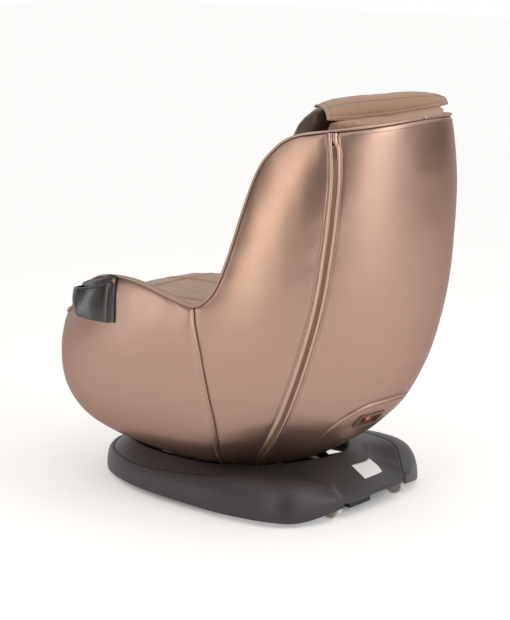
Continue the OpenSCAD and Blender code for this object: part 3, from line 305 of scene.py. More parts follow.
def moulded(name, colour, light, rough=0.5, grain=900, **sockets):
    """Injection-moulded plastic with a fine spark-eroded texture."""
    s = Shader(name, colour, rough, **sockets)
    s.colour(s.mixed(s.noise(3.5, 4, 0.6), colour, light))
    s.roughness(s.between(s.noise(60, 5, 0.65), rough - 0.06, rough + 0.08))
    s.bump(s.noise(6, 2, 0.5), 0.0010, 0.25)
    s.bump(s.noise(grain, 3, 0.6), 0.00012, 0.7)
    return s.mat


def coated_steel(name, colour, rough=0.45):
    """Powder-coated steel with a fine orange peel and lighter scuffs at random."""
    s = Shader(name, colour, rough, 0.0, Coat_Weight=0.2, Coat_Roughness=0.3)
    scuff = s.between(s.noise(55, 6, 0.75), -0.9, 0.35)
    s.colour(s.mixed(scuff, colour, tuple(min(1, 2.0 * c + 0.03) for c in colour)))
    s.roughness(s.between(s.noise(90, 4, 0.6), rough - 0.1, rough + 0.1))
    s.bump(s.noise(420, 2, 0.5), 0.00018, 0.7)
    return s.mat


def turned_steel(name, colour=(0.62, 0.62, 0.63), rough=0.28):
    """Bright steel with drawing marks along its length."""
    s = Shader(name, colour, rough, 1.0)
    lines = s.noise(1.0, 4, 0.6, stretch=(900, 40, 900))
    s.colour(s.mixed(lines, tuple(0.8 * c for c in colour), tuple(min(1, 1.15 * c) for c in colour)))
    s.roughness(s.between(lines, rough - 0.08, rough + 0.14))
    s.bump(lines, 0.00005, 0.6)
    return s.mat


def woven(name, colour, light, pitch, rough=0.75):
    """Coated cloth with a plain weave."""
    s = Shader(name, colour, rough, Sheen_Weight=0.15)
    turns = math.pi / 10 / pitch
    weave = s.maths("MULTIPLY", s.waves(turns, "Y"), s.waves(turns, "Z"))
    s.colour(s.mixed(s.noise(12, 4, 0.6), colour, light))
    s.roughness(s.between(s.noise(40, 4, 0.6), rough - 0.15, rough + 0.05))
    s.bump(s.noise(22, 3, 0.5), 0.0018, 0.35)
    s.bump(weave, 0.00022, 0.7)
    return s.mat


def plywood():
    s = Shader("plywood", (0.62, 0.45, 0.27), 0.6)
    grain = s.noise(3.0, 6, 0.65, stretch=(2, 26, 26), warp=0.6)
    stops = [(0.30, (0.40, 0.26, 0.14)), (0.52, (0.60, 0.43, 0.25)), (0.72, (0.72, 0.56, 0.36))]
    s.colour(s.ramp(grain, stops))
    s.roughness(s.between(grain, 0.5, 0.72))
    s.bump(grain, 0.0003, 0.6)
    return s.mat


def thread(name, colour):
    s = Shader(name, colour, 0.55, Sheen_Weight=0.2)
    twist = s.waves(900, "DIAGONAL")
    # Painted shade: the thread is darker in the grooves of its twist
    s.colour(s.mixed(twist, tuple(0.7 * c for c in colour), colour))
    s.bump(twist, 0.0001, 0.6)
    return s.mat


MAT = {
    "bronze": bronze_leather(),
    "beige": smooth_leather("beige_leather", (0.365, 0.228, 0.150), (0.43, 0.275, 0.188), 0.52),
    "brown": smooth_leather("brown_leather", (0.060, 0.036, 0.026), (0.11, 0.068, 0.05), 0.36, 380),
    "thread": thread("seam_thread", (0.62, 0.48, 0.40)),
    "dark_thread": thread("dark_thread", (0.13, 0.085, 0.07)),
    "plastic": moulded("base_plastic", (0.031, 0.0255, 0.028), (0.043, 0.037, 0.040), 0.44),
    "black": moulded("black_plastic", (0.012, 0.012, 0.014), (0.028, 0.027, 0.029), 0.42),
    "rubber": moulded("rubber", (0.022, 0.021, 0.020), (0.045, 0.043, 0.040), 0.78, 400),
    "milky": moulded("milky_plastic", (0.86, 0.82, 0.72), (0.93, 0.90, 0.83), 0.22, 700,
                     Transmission_Weight=0.25, Coat_Weight=0.3),
    "nylon": moulded("roller_nylon", (0.62, 0.58, 0.49), (0.72, 0.68, 0.60), 0.38, 600),
    "red": moulded("rocker_red", (0.62, 0.025, 0.015), (0.74, 0.06, 0.03), 0.24, 700, Coat_Weight=0.4),
    "frame": coated_steel("frame_steel", (0.035, 0.036, 0.040)),
    "grey": coated_steel("grey_steel", (0.16, 0.165, 0.175), 0.5),
    "steel": turned_steel("bright_steel"),
    "chrome": turned_steel("chrome", (0.80, 0.80, 0.81), 0.12),
    "case": turned_steel("folded_aluminium", (0.70, 0.71, 0.72), 0.42),
    "cloth": patent_leather("pocket_leather", (0.010, 0.007, 0.008), (0.022, 0.016, 0.018)),
    "tape": woven("zip_tape", (0.33, 0.215, 0.13), (0.42, 0.29, 0.185), 0.0008),
    "coil": moulded("zip_coil", (0.17, 0.10, 0.055), (0.24, 0.15, 0.09), 0.4, 700),
    "zip_metal": turned_steel("zip_metal", (0.30, 0.20, 0.14), 0.34),
    "board": plywood(),
    "bronze_plastic": moulded("bronze_plastic", (0.25, 0.155, 0.115), (0.32, 0.205, 0.155), 0.34, 800,
                              Metallic=0.6),
    "paper": moulded("blank_patch", (0.90, 0.90, 0.91), (0.95, 0.95, 0.96), 0.45, 300),
}

# ---- numbers shared with the part's source, in millimetres and degrees ----

PAN_Z = 80
FRONT_H, ARM_H, DIP_H = 408, 540, 503
BODY_H = 917
BAND_H = 6
RIM_GAP, SEAM_GAP = 0.5, 0.7
PIPING_R = 2.6
ZIP_W = 24
# z, half width, front y, y of the widest point, rear y, squareness of front and rear
STATIONS = [
    [80, 165, -300, -45, 130, 2.3, 2.0],
    [95, 205, -345, -45, 170, 2.4, 2.0],
    [125, 247, -412, -45, 222, 3.0, 2.0],
    [170, 290, -450, -35, 290, 3.4, 2.0],
    [240, 328, -470, -15, 360, 3.55, 2.0],
    [330, 352, -475, 20, 410, 3.3, 2.0],
    [430, 362, -467, 60, 442, 2.8, 2.0],
    [530, 358, -435, 100, 462, 2.8, 2.0],
    [640, 343, -345, 140, 473, 2.6, 2.0],
    [740, 320, -245, 170, 475, 2.4, 2.1],
    [830, 288, -145, 190, 473, 2.4, 2.2],
    [932, 236, -50, 215, 458, 2.4, 2.5],
]
FRONT_CORNER = -57
DIP_A = 1.9
ARM_SEAM = [[80, 24], [110, 23.7], [144, 23.2], [214, 20.9], [288, 16.8], [361, 12.3], [407, 9.2],
            [440, 6.5], [474, 3.7], [DIP_H, DIP_A]]
WING_EDGE = [[DIP_H, DIP_A], [508, 3.7], [517, 5.1], [532, 6.8], [550, 7.7], [580, 8.3], [636, 8.4],
             [700, 8], [770, 7.8], [804, 8], [837, 9.6], [874, 14.6], [883, 16.8], [893, 22]]
ZIP_LINE = [[80, 47.5], [114, 46.1], [187, 44.8], [297, 45.2], [349, 45.7], [443, 46.6], [535, 46.8],
            [624, 46.2], [712, 45.2], [795, 43.4], [859, 40.3], [880, 38.2], [902, 37.1]]
WING_TOP, ZIP_TOP = 893, 902


def lerp(a, b, t):
    return a + (b - a) * t


ARM_RIM = [[-90, FRONT_H], [FRONT_CORNER, FRONT_H], [-50, FRONT_H + 2], [-46, lerp(FRONT_H, ARM_H, 0.12)],
           [-42, lerp(FRONT_H, ARM_H, 0.40)], [-38, lerp(FRONT_H, ARM_H, 0.72)],
           [-33, lerp(FRONT_H, ARM_H, 0.93)], [-27, ARM_H], [-20, ARM_H], [-14, ARM_H - 8],
           [-7, lerp(DIP_H, ARM_H, 0.42)], [-2, DIP_H + 6], [DIP_A, DIP_H]]


# ---- curves and the egg ----

def curve(table, x):
    """Smooth rows of a table whose first column is x, held at its two ends."""
    t = np.asarray(table, float)
    last = len(t) - 1
    x = np.clip(np.asarray(x, float), t[0, 0], t[-1, 0])
    i = np.clip(np.searchsorted(t[:, 0], x, side="right") - 1, 0, last - 1)
    low, high = np.maximum(np.arange(last + 1) - 1, 0), np.minimum(np.arange(last + 1) + 1, last)
    slope = (t[high] - t[low]) / (t[high, 0] - t[low, 0])[:, None]
    h = (t[i + 1, 0] - t[i, 0])[..., None]
    s = (x - t[i, 0])[..., None] / h
    return ((2 * s**3 - 3 * s**2 + 1) * t[i] + (s**3 - 2 * s**2 + s) * h * slope[i]
            + (3 * s**2 - 2 * s**3) * t[i + 1] + (s**3 - s**2) * h * slope[i + 1])


def skin(a, z):
    """Points of the cover at angles a round the body (0 = left side, -90 = front) and heights z."""
    a, z = np.broadcast_arrays(np.asarray(a, float), np.asarray(z, float))
    r = curve(STATIONS, z)
    c, s = np.cos(np.radians(a)), np.sin(np.radians(a))
    n = np.where(s < 0, r[..., 5], r[..., 6])
    reach = np.where(s < 0, r[..., 3] - r[..., 2], r[..., 4] - r[..., 3])
    rho = (np.abs(c)**n + np.abs(s)**n)**(-1 / n)
    return np.stack([r[..., 1] * c * rho, r[..., 3] + reach * s * rho, z], -1)


def unit(v):
    return v / np.maximum(np.linalg.norm(v, axis=-1, keepdims=True), 1e-12)


def skin_normal(a, z):
    """Outward direction of the cover there."""
    a, z = np.asarray(a, float), np.asarray(z, float)
    return unit(np.cross(skin(a + 0.5, z) - skin(a - 0.5, z), skin(a, z + 1) - skin(a, z - 1)))


def skin_in(a, z, depth):
    """The same points moved depth inwards, square to the cover."""
    return skin(a, z) - np.asarray(depth, float)[..., None] * skin_normal(a, z)


def arc_deg(d, a, z):
    """d millimetres round the body at angle a and height z, as an angle."""
    return d / np.linalg.norm(skin(np.asarray(a) + 0.5, z) - skin(np.asarray(a) - 0.5, z), axis=-1)


def arm_a(z):
    return curve(ARM_SEAM, z)[..., 1]


def wing_a(z):
    return curve(WING_EDGE, z)[..., 1]


def zip_a(z):
    return curve(ZIP_LINE, z)[..., 1]


def arm_top(a):
    return curve(ARM_RIM, a)[..., 1]


def rear_y(x, z):
    """Depth of the cover at half width x and height z, on its rear half."""
    r = curve(STATIONS, z)
    n = r[..., 6]
    share = np.clip(1 - np.abs(np.asarray(x) / r[..., 1])**n, 0, 1)**(1 / n)
    return r[..., 3] + (r[..., 4] - r[..., 3]) * share


def a_at_y(y, z):
    """Angle of the cover at depth y and height z."""
    r = curve(STATIONS, z)
    ahead = y < r[..., 3]
    n = np.where(ahead, r[..., 5], r[..., 6])
    s = (y - r[..., 3]) / np.where(ahead, r[..., 3] - r[..., 2], r[..., 4] - r[..., 3])
    return np.degrees(np.arctan2(s, np.maximum(1 - np.abs(s)**n, 1e-4)**(1 / n)))


ZIP_TOP_A = float(zip_a(ZIP_TOP))


def back_rim(a):
    return lerp(WING_TOP, ZIP_TOP, (a - 22) / (ZIP_TOP_A - 22))


def back_top(u):
    return ZIP_TOP + (BODY_H - ZIP_TOP) * np.sin(np.pi * u)


def smoothed(v, rounds=6):
    """A row of points with its kinks eased, its ends kept."""
    v = v.copy()
    for _ in range(rounds):
        v[1:-1] = 0.25 * v[:-2] + 0.5 * v[1:-1] + 0.25 * v[2:]
    return v


def make_rim():
    """The rim of the left half as angles and heights: along the arm, up the wing, over half the back."""
    arm = [(a, float(arm_top(a))) for a in np.arange(FRONT_CORNER, DIP_A, 1.2)]
    wing = [(float(wing_a(z)), z) for z in np.concatenate([
        np.arange(DIP_H, 560, 4), np.arange(560, 830, 12), np.arange(830, 893, 4.5)])]
    back = [(a, float(back_rim(a))) for a in np.arange(22, ZIP_TOP_A - 0.6, 2.0)]
    top = [(lerp(ZIP_TOP_A, 180 - ZIP_TOP_A, u), float(back_top(u))) for u in np.linspace(0, 0.5, 26)]
    return smoothed(np.array(arm + wing + back + top)), len(arm), len(wing)


RIM, RIM_ARM, RIM_WING = make_rim()


def rim_in(d):
    """The rim moved d square to itself along the cover, towards the panels below it."""
    ahead = np.vstack([RIM[1:], RIM[-1:]])
    behind = np.vstack([RIM[:1], RIM[:-1]])
    step = ahead - behind
    step[:, 0] /= arc_deg(1, RIM[:, 0], RIM[:, 1])
    t = step / np.linalg.norm(step, axis=1, keepdims=True)
    t[-1] = (1, 0)
    return np.stack([RIM[:, 0] + arc_deg(d * t[:, 1], RIM[:, 0], RIM[:, 1]), RIM[:, 1] - d * t[:, 0]], 1)


# ---- mesh helpers ----

def new_object(name, mesh, mat):
    mesh.materials.append(MAT[mat])
    return linked(name, mesh)


def net(rows, cols, around=False, capped=False, first=0):
    """Faces of a net of rows by cols points, numbered from first."""
    faces = []
    for r in range(rows - 1):
        for c in range(cols if around else cols - 1):
            d = (c + 1) % cols
            faces.append((r * cols + c, r * cols + d, (r + 1) * cols + d, (r + 1) * cols + c))
    if capped:
        faces += [tuple(range(cols))[::-1], tuple(range((rows - 1) * cols, rows * cols))]
    return [tuple(first + v for v in face) for face in faces]


def piece(name, points, faces, mat, mirror=False, smooth=True):
    """A mesh from points in millimetres; mirror makes the other side's copy."""
    points = np.reshape(points, (-1, 3)) * MM * ((-1, 1, 1) if mirror else (1, 1, 1))
    mesh = bpy.data.meshes.new(name)
    mesh.from_pydata(points.tolist(), [], faces)
    mesh.polygons.foreach_set("use_smooth", [smooth] * len(mesh.polygons))
    mesh.update()
    return new_object(name, mesh, mat)


def grid(name, points, mat, around=False, mirror=False, capped=False, seam=None):
    """A smooth surface through rows of points given in millimetres; around joins the last column to the
    first, and capped closes the first and last row."""
    faces = net(*points.shape[:2], around, capped)
    if mirror:
        faces = [face[::-1] for face in faces]
    obj = piece(name, points, faces, mat, mirror)
    # seam: share of the painted seam highlight on the bronze leather, per point
    if seam is not None:
        attribute = obj.data.attributes.new("seam", "FLOAT", "POINT")
        highlight_share = np.broadcast_to(seam, points.shape[:2]).astype(np.float32)
        attribute.data.foreach_set("value", highlight_share.ravel())
    return obj


def outward(obj):
    """Turns the faces so that they all look out."""
    bm = bmesh.new()
    bm.from_mesh(obj.data)
    bmesh.ops.recalc_face_normals(bm, faces=bm.faces)
    bm.to_mesh(obj.data)
    bm.free()
    return obj


def ring_grid(name, points, mat, capped=True, **how):
    return outward(grid(name, points, mat, around=True, capped=capped, **how))


def slab(name, top, low, mat):
    """A thin piece between two grids of points."""
    return ring_grid(name, np.concatenate([top, low[:, ::-1]], 1), mat)


def finish_piece(obj, *nodes, body="seat", slot="bronze_leather"):
    """Rides a piece on its body and hides the CAD nodes that it replaces, if any."""
    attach(obj, body)
    if nodes:
        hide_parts(*nodes)
    return obj


RIPPLE_LAYERS = 7


def ripple(points, wave, seed):
    """Smooth seeded waviness between -1 and 1 over points in millimetres, wave millimetres long."""
    rng = np.random.default_rng(seed)
    total = np.zeros(points.shape[:-1])
    for _ in range(RIPPLE_LAYERS):
        direction = unit(rng.normal(size=3)) / (wave * rng.uniform(0.7, 1.6)) * 2 * np.pi
        total += np.sin(points @ direction + rng.uniform(0, 2 * np.pi))
    return total / RIPPLE_LAYERS * 1.6


def lengths(path):
    """Length run along rows of points, from 0 at the first row."""
    steps = np.linalg.norm(np.diff(path, axis=0), axis=-1)
    return np.concatenate([np.zeros((1, *steps.shape[1:])), np.cumsum(steps, 0)])


def rows_at(at, run, rows):
    """Rows read off at lengths along their run."""
    return np.stack([np.interp(at, run, column) for column in rows.T], -1)


def resampled(path, n):
    """n points at equal steps along a path."""
    path = np.asarray(path, float)
    run = lengths(path)
    return rows_at(np.linspace(0, run[-1], n), run, path)


def end_distance(points):
    """Distance of each row of points from the nearer of the first and last row, in millimetres."""
    run = lengths(points)
    return np.minimum(run, run[-1] - run)


def edge_distance(points):
    """Distance of each grid point from the nearest of the grid's four edges, in millimetres."""
    return np.minimum(end_distance(points), end_distance(points.transpose(1, 0, 2)).T)


def grid_normals(points):
    return unit(np.cross(np.gradient(points, axis=1), np.gradient(points, axis=0)))


SEAM_DIP = 3.0
SEAM_REACH = 7.0
FOLD = 9.0
WRINKLE = 0.7


def upholstered(name, points, node, seed, mirror=False):
    """A panel of padded leather: its edges pull down into the seams and fold inwards."""
    normal = grid_normals(points)
    gap = edge_distance(points)
    dip = SEAM_DIP * np.exp(-gap / SEAM_REACH)
    pucker = WRINKLE * ripple(points, 60, seed) * (0.35 + 1.2 * np.exp(-gap / 30)) * (1 - np.exp(-gap / 6))
    top = points + (pucker - dip)[..., None] * normal
    border = ((1, 1), (1, 1), (0, 0))
    fold = np.pad(normal, border, mode="edge") * FOLD
    fold[1:-1, 1:-1] = 0
    # Painted highlight along the panel's edges, strongest at the seams
    obj = grid(name, np.pad(top, border, mode="edge") - fold, "bronze", mirror=mirror,
               seam=np.pad(np.exp(-gap / 3.5), 1, mode="edge"))
    finish_piece(obj, node)


# Rings of one stitch: place along it, width and height, as shares of its length and radius
STITCH = np.array([(-0.5, 0.15, -0.8), (-0.34, 0.9, 0), (0, 1.1, 0.12), (0.34, 0.9, 0), (0.5, 0.15, -0.8)])
STITCH_R = 0.55


def stitches(name, path, normals, mat, slot="bronze_leather", pitch=6.5, length=4.6, lift=0.35, mirror=False):
    """A row of stitches along a path in millimetres: small grains of thread, each sunk at its ends."""
    run = lengths(path)
    centres = np.arange(pitch / 2, run[-1] - pitch / 2, pitch)
    up = unit(rows_at(centres, run, normals))
    along = unit(rows_at(centres + 1, run, path) - rows_at(centres - 1, run, path))
    middle = rows_at(centres, run, path) + up * lift
    turn = (np.arange(6) * math.pi / 3)[:, None]
    where, wide, drop = STITCH.T[:, :, None]
    rings = middle[:, None] + along[:, None] * length * where + up[:, None] * drop * STITCH_R
    spokes = np.cross(along, up)[:, None] * np.cos(turn) + up[:, None] * 0.8 * np.sin(turn)
    points = rings[:, :, None] + STITCH_R * wide[:, None] * spokes[:, None]
    faces = [face for k in range(len(centres)) for face in net(5, 6, True, True, 30 * k)]
    finish_piece(outward(piece(name, points, faces, mat, mirror)), slot=slot)


def tube_path(name, path, radius, mat, sides=10, mirror=False):
    """A round welt along a path in millimetres."""
    along = unit(np.gradient(path, axis=0))
    side = unit(np.cross(along, [0.31, 0.17, 0.93]))
    up = np.cross(side, along)
    t = (np.arange(sides) * 2 * np.pi / sides)[:, None]
    points = path[:, None] + radius * (np.cos(t) * side[:, None] + np.sin(t) * up[:, None])
    return ring_grid(name, points, mat, mirror=mirror)


def clearer(lo, hi, n):
    """n values from lo to hi that lie closer together near both ends."""
    t = np.linspace(0, 1, n)
    return lerp(lo, hi, lerp(t, 0.5 - 0.5 * np.cos(np.pi * t), 0.6))


# ---- bronze cover panels ----

def arm_panel(side, mirror):
    edge = rim_in(BAND_H + RIM_GAP)[:RIM_ARM]

    def left(z):
        return FRONT_CORNER + arc_deg(SEAM_GAP, FRONT_CORNER, z)

    def right(z):
        return arm_a(z) - arc_deg(PIPING_R, arm_a(z), z)

    u = clearer(0, 1, 96)[None]
    v = clearer(0, 1, 80)[:, None]
    first, final = left(FRONT_H), right(DIP_H - BAND_H)
    high = np.interp(lerp(first, final, u), edge[:, 0], edge[:, 1])
    z = lerp(PAN_Z, high, v)
    turn = lerp(first, final, u) - lerp(left(high), right(high), u)
    a = lerp(left(z), right(z), u) + turn * v**2
    upholstered(side + "_arm_cover", skin(a, z), side + "_arm_panel", 11 + mirror, mirror)


def front_panel():
    u = clearer(0, 1, 90)[None]
    z = clearer(PAN_Z, FRONT_H, 60)[:, None]
    a = lerp(-180 - FRONT_CORNER + SEAM_GAP, FRONT_CORNER - 0.1, u)
    upholstered("front_cover", skin(a, z), "front_panel", 13)


def side_panel(side, mirror):
    edge = rim_in(BAND_H + RIM_GAP)[RIM_ARM - 1:RIM_ARM + RIM_WING + 2]
    heights = np.maximum.accumulate(edge[:, 1])
    dip_in = heights[0]
    top = WING_TOP - BAND_H - RIM_GAP
    levels = np.unique(np.concatenate([
        clearer(PAN_Z, dip_in, 64), np.linspace(dip_in, 560, 22), np.linspace(560, 840, 40),
        np.linspace(840, top, 20)]))
    share = ((levels - PAN_Z) / (top - PAN_Z))[:, None]
    u = clearer(0, 1, 70)[None]
    top_a = ZIP_TOP_A - arc_deg(ZIP_W / 2, 40, ZIP_TOP)
    high = lerp(WING_TOP, back_rim(top_a), u) - BAND_H - RIM_GAP
    z = lerp(PAN_Z, high, share)
    along_wing = np.interp(z, heights, edge[:, 0])
    left = np.where(z < dip_in, arm_a(z) + arc_deg(PIPING_R, arm_a(z), z), along_wing)
    right = zip_a(z) - arc_deg(ZIP_W / 2, zip_a(z), z)
    upholstered(side + "_side_cover", skin(lerp(left, right, u), z), side + "_side_panel", 15 + mirror, mirror)


TAIL_TOP, TAIL_HALF, TAIL_MID = 266, 124, 190
TAIL_FOOT = [[60, 80], [66, 84], [95, 114], [113, 150]]
SERVICE_X, SERVICE_Z = 26.6, 217
SERVICE_HALF = (39.3, 15.7)


def both_halves(half):
    """A line that ends on the middle plane, joined to its mirror image."""
    half[-1, 0] = 0
    return np.vstack([half, (half * (-1, 1))[-2::-1]])


def tail_arch(n, grow):
    """The tail seam from its right foot over the top to its left foot, as x and z, moved grow outwards."""
    t = np.radians(np.linspace(0, 90, 40))
    head = np.stack([TAIL_HALF * np.cos(t)**0.72, TAIL_MID + (TAIL_TOP - TAIL_MID) * np.sin(t)**0.72], 1)
    half = smoothed(resampled(np.vstack([TAIL_FOOT, head]), n // 2 + 1), 3)
    return both_halves(half + grow * unit(np.stack([np.gradient(half[:, 1]), -np.gradient(half[:, 0])], 1)))


def back_left(z):
    return zip_a(z) + arc_deg(ZIP_W / 2, zip_a(z), z)


def rear_points(x, z):
    return np.stack([x, rear_y(x, z), z], -1)


def back_panel():
    n = 241
    inner = tail_arch(n, SEAM_GAP / 2)
    z = np.linspace(PAN_Z, ZIP_TOP - BAND_H - RIM_GAP, 120)
    side = skin(back_left(z), z)
    u = np.linspace(0, 0.5, 30)[1:]
    top_left = back_left(z[-1])
    head = skin(lerp(top_left, 180 - top_left, u), back_top(u) - BAND_H - RIM_GAP)
    outer = both_halves(resampled(np.vstack([side, head])[:, [0, 2]], n // 2 + 1))
    flat = lerp(inner, outer, clearer(0, 1, 92)[:, None, None])
    upholstered("back_cover", rear_points(flat[..., 0], flat[..., 1]), "back_panel", 17)


def tail_panel():
    outline = np.vstack([tail_arch(121, -SEAM_GAP / 2), [[-60, PAN_Z], [0, PAN_Z], [60, PAN_Z]]])
    centre = np.array([SERVICE_X, SERVICE_Z])
    theta = np.linspace(0, 2 * np.pi, 160, endpoint=False)
    ray = np.stack([np.cos(theta), np.sin(theta)], 1)
    box = (np.abs(ray / SERVICE_HALF)**9).sum(1)**(-1 / 9)
    closed = resampled(np.vstack([outline, outline[:1]]), 900) - centre
    bearing = np.arctan2(closed[:, 1], closed[:, 0]) % (2 * np.pi)
    order = np.argsort(bearing)
    far = np.interp(theta, bearing[order], np.linalg.norm(closed, axis=1)[order], period=2 * np.pi)
    flat = centre + lerp(box[:, None] * ray, far[:, None] * ray, clearer(0, 1, 26)[:, None, None])
    points = rear_points(flat[..., 0], flat[..., 1])
    normal = unit(np.cross(np.gradient(points, axis=0), np.roll(points, -1, 1) - np.roll(points, 1, 1)))
    normal *= np.sign(normal[..., 1:2] + 1e-9)
    gap = end_distance(points)
    top = points - (2.2 * np.exp(-gap / 6))[..., None] * normal
    fold = np.pad(top, ((1, 1), (0, 0), (0, 0)), mode="edge")
    fold[0] -= FOLD * normal[0]
    fold[-1] -= FOLD * normal[-1]
    # Painted highlight along the panel's edges, strongest at the seams
    seam = np.pad(np.exp(-gap / 3.5), ((1, 1), (0, 0)), mode="edge")
    obj = ring_grid("tail_cover", fold, "bronze", capped=False, seam=seam)
    finish_piece(obj, "tail_panel")


# ---- rim bands, piping, zips and stitching ----

# Cross-section of the band: how far below the rim and how deep behind the cover
BAND_PROFILE = [(6, 0.6), (5.4, -0.6), (4.2, -1.2), (2.8, -1.3), (1.5, -0.7), (0.5, 0.6), (0.1, 2.4),
                (0.25, 5), (0.3, 7), (0.25, 9), (0.1, 11.6), (0.5, 13.2), (1.6, 14), (3, 14), (6, 14), (6, 7)]


def rim_line(down, depth, keep=slice(None)):
    """A line down from the rim and depth behind the cover, with the cover's normals there."""
    a, z = rim_in(down)[keep].T
    return skin_in(a, z, np.full(len(a), float(depth))), skin_normal(a, z)


def rim_band(side, mirror):
    points = np.stack([rim_line(down, depth)[0] for down, depth in BAND_PROFILE], 1)
    bead = 0.25 * ripple(points, 26, 21 + mirror)
    points = points + bead[..., None] * skin_normal(RIM[:, 0], RIM[:, 1])[:, None]
    # The band is painted a quarter of the way to the seam highlight colour
    obj = ring_grid(side + "_band", points, "bronze", mirror=mirror, seam=0.25)
    finish_piece(obj, side + "_rim_band")
    line, up = rim_line(4.4, -1.3)
    stitches(side + "_band_stitch_outer", line, up, "thread", lift=0.2, mirror=mirror)
    line, _ = rim_line(0.1, 11.0)
    stitches(side + "_band_stitch_inner", line, np.tile([0.0, 0.0, 1.0], (len(line), 1)), "thread", lift=0.2,
             mirror=mirror)
    line, up = rim_line(17, 0, slice(RIM_ARM + RIM_WING + 8, None))
    stitches(side + "_hem_stitch", line, up, "dark_thread", mirror=mirror)


def seam_path(angle_of, z, shift, depth):
    """A line along a seam, shift millimetres round the body from it and depth behind the cover."""
    a = angle_of(z)
    a = a + arc_deg(shift, a, z)
    return skin_in(a, z, np.zeros(len(z)) + depth), skin_normal(a, z)


def arm_seam(side, mirror):
    z = np.linspace(PAN_Z + 2, DIP_H - BAND_H - 3, 90)
    cord = tube_path(side + "_piping", seam_path(arm_a, z, 0, 2.2)[0], 2.3, "bronze", mirror=mirror)
    finish_piece(cord, side + "_arm_piping")
    for name, shift, mat in (("front", -7.0, "thread"), ("rear", 6.5, "dark_thread")):
        stitches(side + "_arm_stitch_" + name, *seam_path(arm_a, z, shift, 1.0), mat, mirror=mirror)


# Half of the zip's cross-section: distance from its middle and height above the cover
ZIP_WELT = [(3.5, -4.5), (3.7, -1.0), (4.2, 1.4), (5.2, 2.8), (6.8, 3.5), (8.5, 3.3), (10.4, 2.3), (12.4, 0.7),
            (14.4, -1.3), (16.4, -4.2)]
ZIP_CLOSED_FROM = 872


def rear_zip(side, mirror):
    z = np.linspace(PAN_Z, ZIP_TOP - BAND_H - RIM_GAP - 1.5, 190)
    closed = np.clip((z - ZIP_CLOSED_FROM + 6) / 10, 0, 1)
    for name, sign in (("fore", -1), ("aft", 1)):
        columns = []
        for across, up in ZIP_WELT:
            inner = lerp(across, max(across - 3.4, 0.15), closed)
            rise = up * lerp(1, 0.55, closed) if up > 0 else up
            columns.append(seam_path(zip_a, z, sign * inner, -rise)[0])
        points = np.stack(columns, 1)
        points += (0.22 * ripple(points, 34, 31 + mirror))[..., None] * skin_normal(zip_a(z), z)[:, None]
        # The welts are painted 0.6 of the way to the seam highlight colour
        welt = outward(grid(f"{side}_zip_welt_{name}", points, "bronze", mirror=mirror, seam=0.6))
        finish_piece(welt, *([side + "_rear_zip"] if sign < 0 else []))
        stitches(f"{side}_zip_stitch_{name}", *seam_path(zip_a, z[:-6], sign * 18.5, 0.4), "dark_thread",
                 mirror=mirror)
    open_z = z[z < ZIP_CLOSED_FROM]
    strip = np.stack([seam_path(zip_a, open_z, across, 1.8)[0] for across in (-4.6, -2.3, 0, 2.3, 4.6)], 1)
    finish_piece(grid(side + "_zip_tape", strip, "tape", mirror=mirror))
    zip_teeth(side, open_z, mirror)
    zip_slider(side, mirror)


TOOTH_PITCH = 3.0
# A tooth's outline, and its reach and thickness from root to tip
TOOTH_SECTION = [(-0.5, 0), (-0.42, 0.5), (0, 0.7), (0.42, 0.5), (0.5, 0)]
TOOTH_RUN = [(1.5, 1.0), (0.8, 1.0), (0.0, 0.95), (-0.5, 0.6)]


def zip_teeth(side, z, mirror):
    """The coil's teeth, which reach in by turns from either side."""
    path, up = seam_path(zip_a, z, 0, 1.7)
    run = lengths(path)
    at = np.arange(2, run[-1] - 2, TOOTH_PITCH / 2)
    middle = rows_at(at, run, path)
    n = unit(rows_at(at, run, up))
    along = unit(np.gradient(middle, axis=0))
    points, faces = [], []
    for k, (m, t, s, u) in enumerate(zip(middle, along, np.cross(along, n), n)):
        toward = 1 if k % 2 else -1
        faces += net(4, 5, first=20 * k) + [tuple(20 * k + 15 + c for c in range(5))]
        points += [m + toward * reach * s + wide * (across * t + high * u)
                   for reach, wide in TOOTH_RUN for across, high in TOOTH_SECTION]
    teeth = piece(side + "_zip_teeth", points, faces, "coil", mirror, smooth=False)
    finish_piece(outward(teeth))


def placed(obj, at, x, z, mirror):
    """Moves a piece drawn in millimetres so that its own X and Z point along x and z."""
    axes = np.stack([x, np.cross(z, x), z], 1)
    turn = Matrix([[*row, place * MM] for row, place in zip(axes.tolist(), at)] + [[0, 0, 0, 1]])
    obj.data.transform(turn @ Matrix.Scale(MM, 4))
    if mirror:
        obj.data.transform(Matrix.Scale(-1, 4, (1, 0, 0)))
        obj.data.flip_normals()
    finish_piece(obj)


def plate(name, outline, thick, mat, bevel, hole=None):
    """A flat plate with rounded edges: outline in millimetres, thick along Z, hole a smaller outline."""
    bm = bmesh.new()
    ring = [bm.verts.new((x, y, 0)) for x, y in outline]
    if hole is None:
        bm.faces.new(ring)
    else:
        inner = [bm.verts.new((x, y, 0)) for x, y in hole]
        n = len(ring)
        for k in range(n):
            bm.faces.new((ring[k], ring[(k + 1) % n], inner[(k + 1) % n], inner[k]))
    raised = bmesh.ops.extrude_face_region(bm, geom=list(bm.faces))["geom"]
    raised = [v for v in raised if isinstance(v, bmesh.types.BMVert)]
    bmesh.ops.translate(bm, vec=(0, 0, thick), verts=raised)
    bmesh.ops.recalc_face_normals(bm, faces=bm.faces)
    sharp = [e for e in bm.edges if len(e.link_faces) == 2 and e.calc_face_angle() > 0.9]
    bmesh.ops.bevel(bm, geom=sharp, offset=bevel, segments=3, affect="EDGES", profile=0.5)
    mesh = bpy.data.meshes.new(name)
    bm.to_mesh(mesh)
    bm.free()
    mesh.polygons.foreach_set("use_smooth", [True] * len(mesh.polygons))
    return new_object(name, mesh, mat)


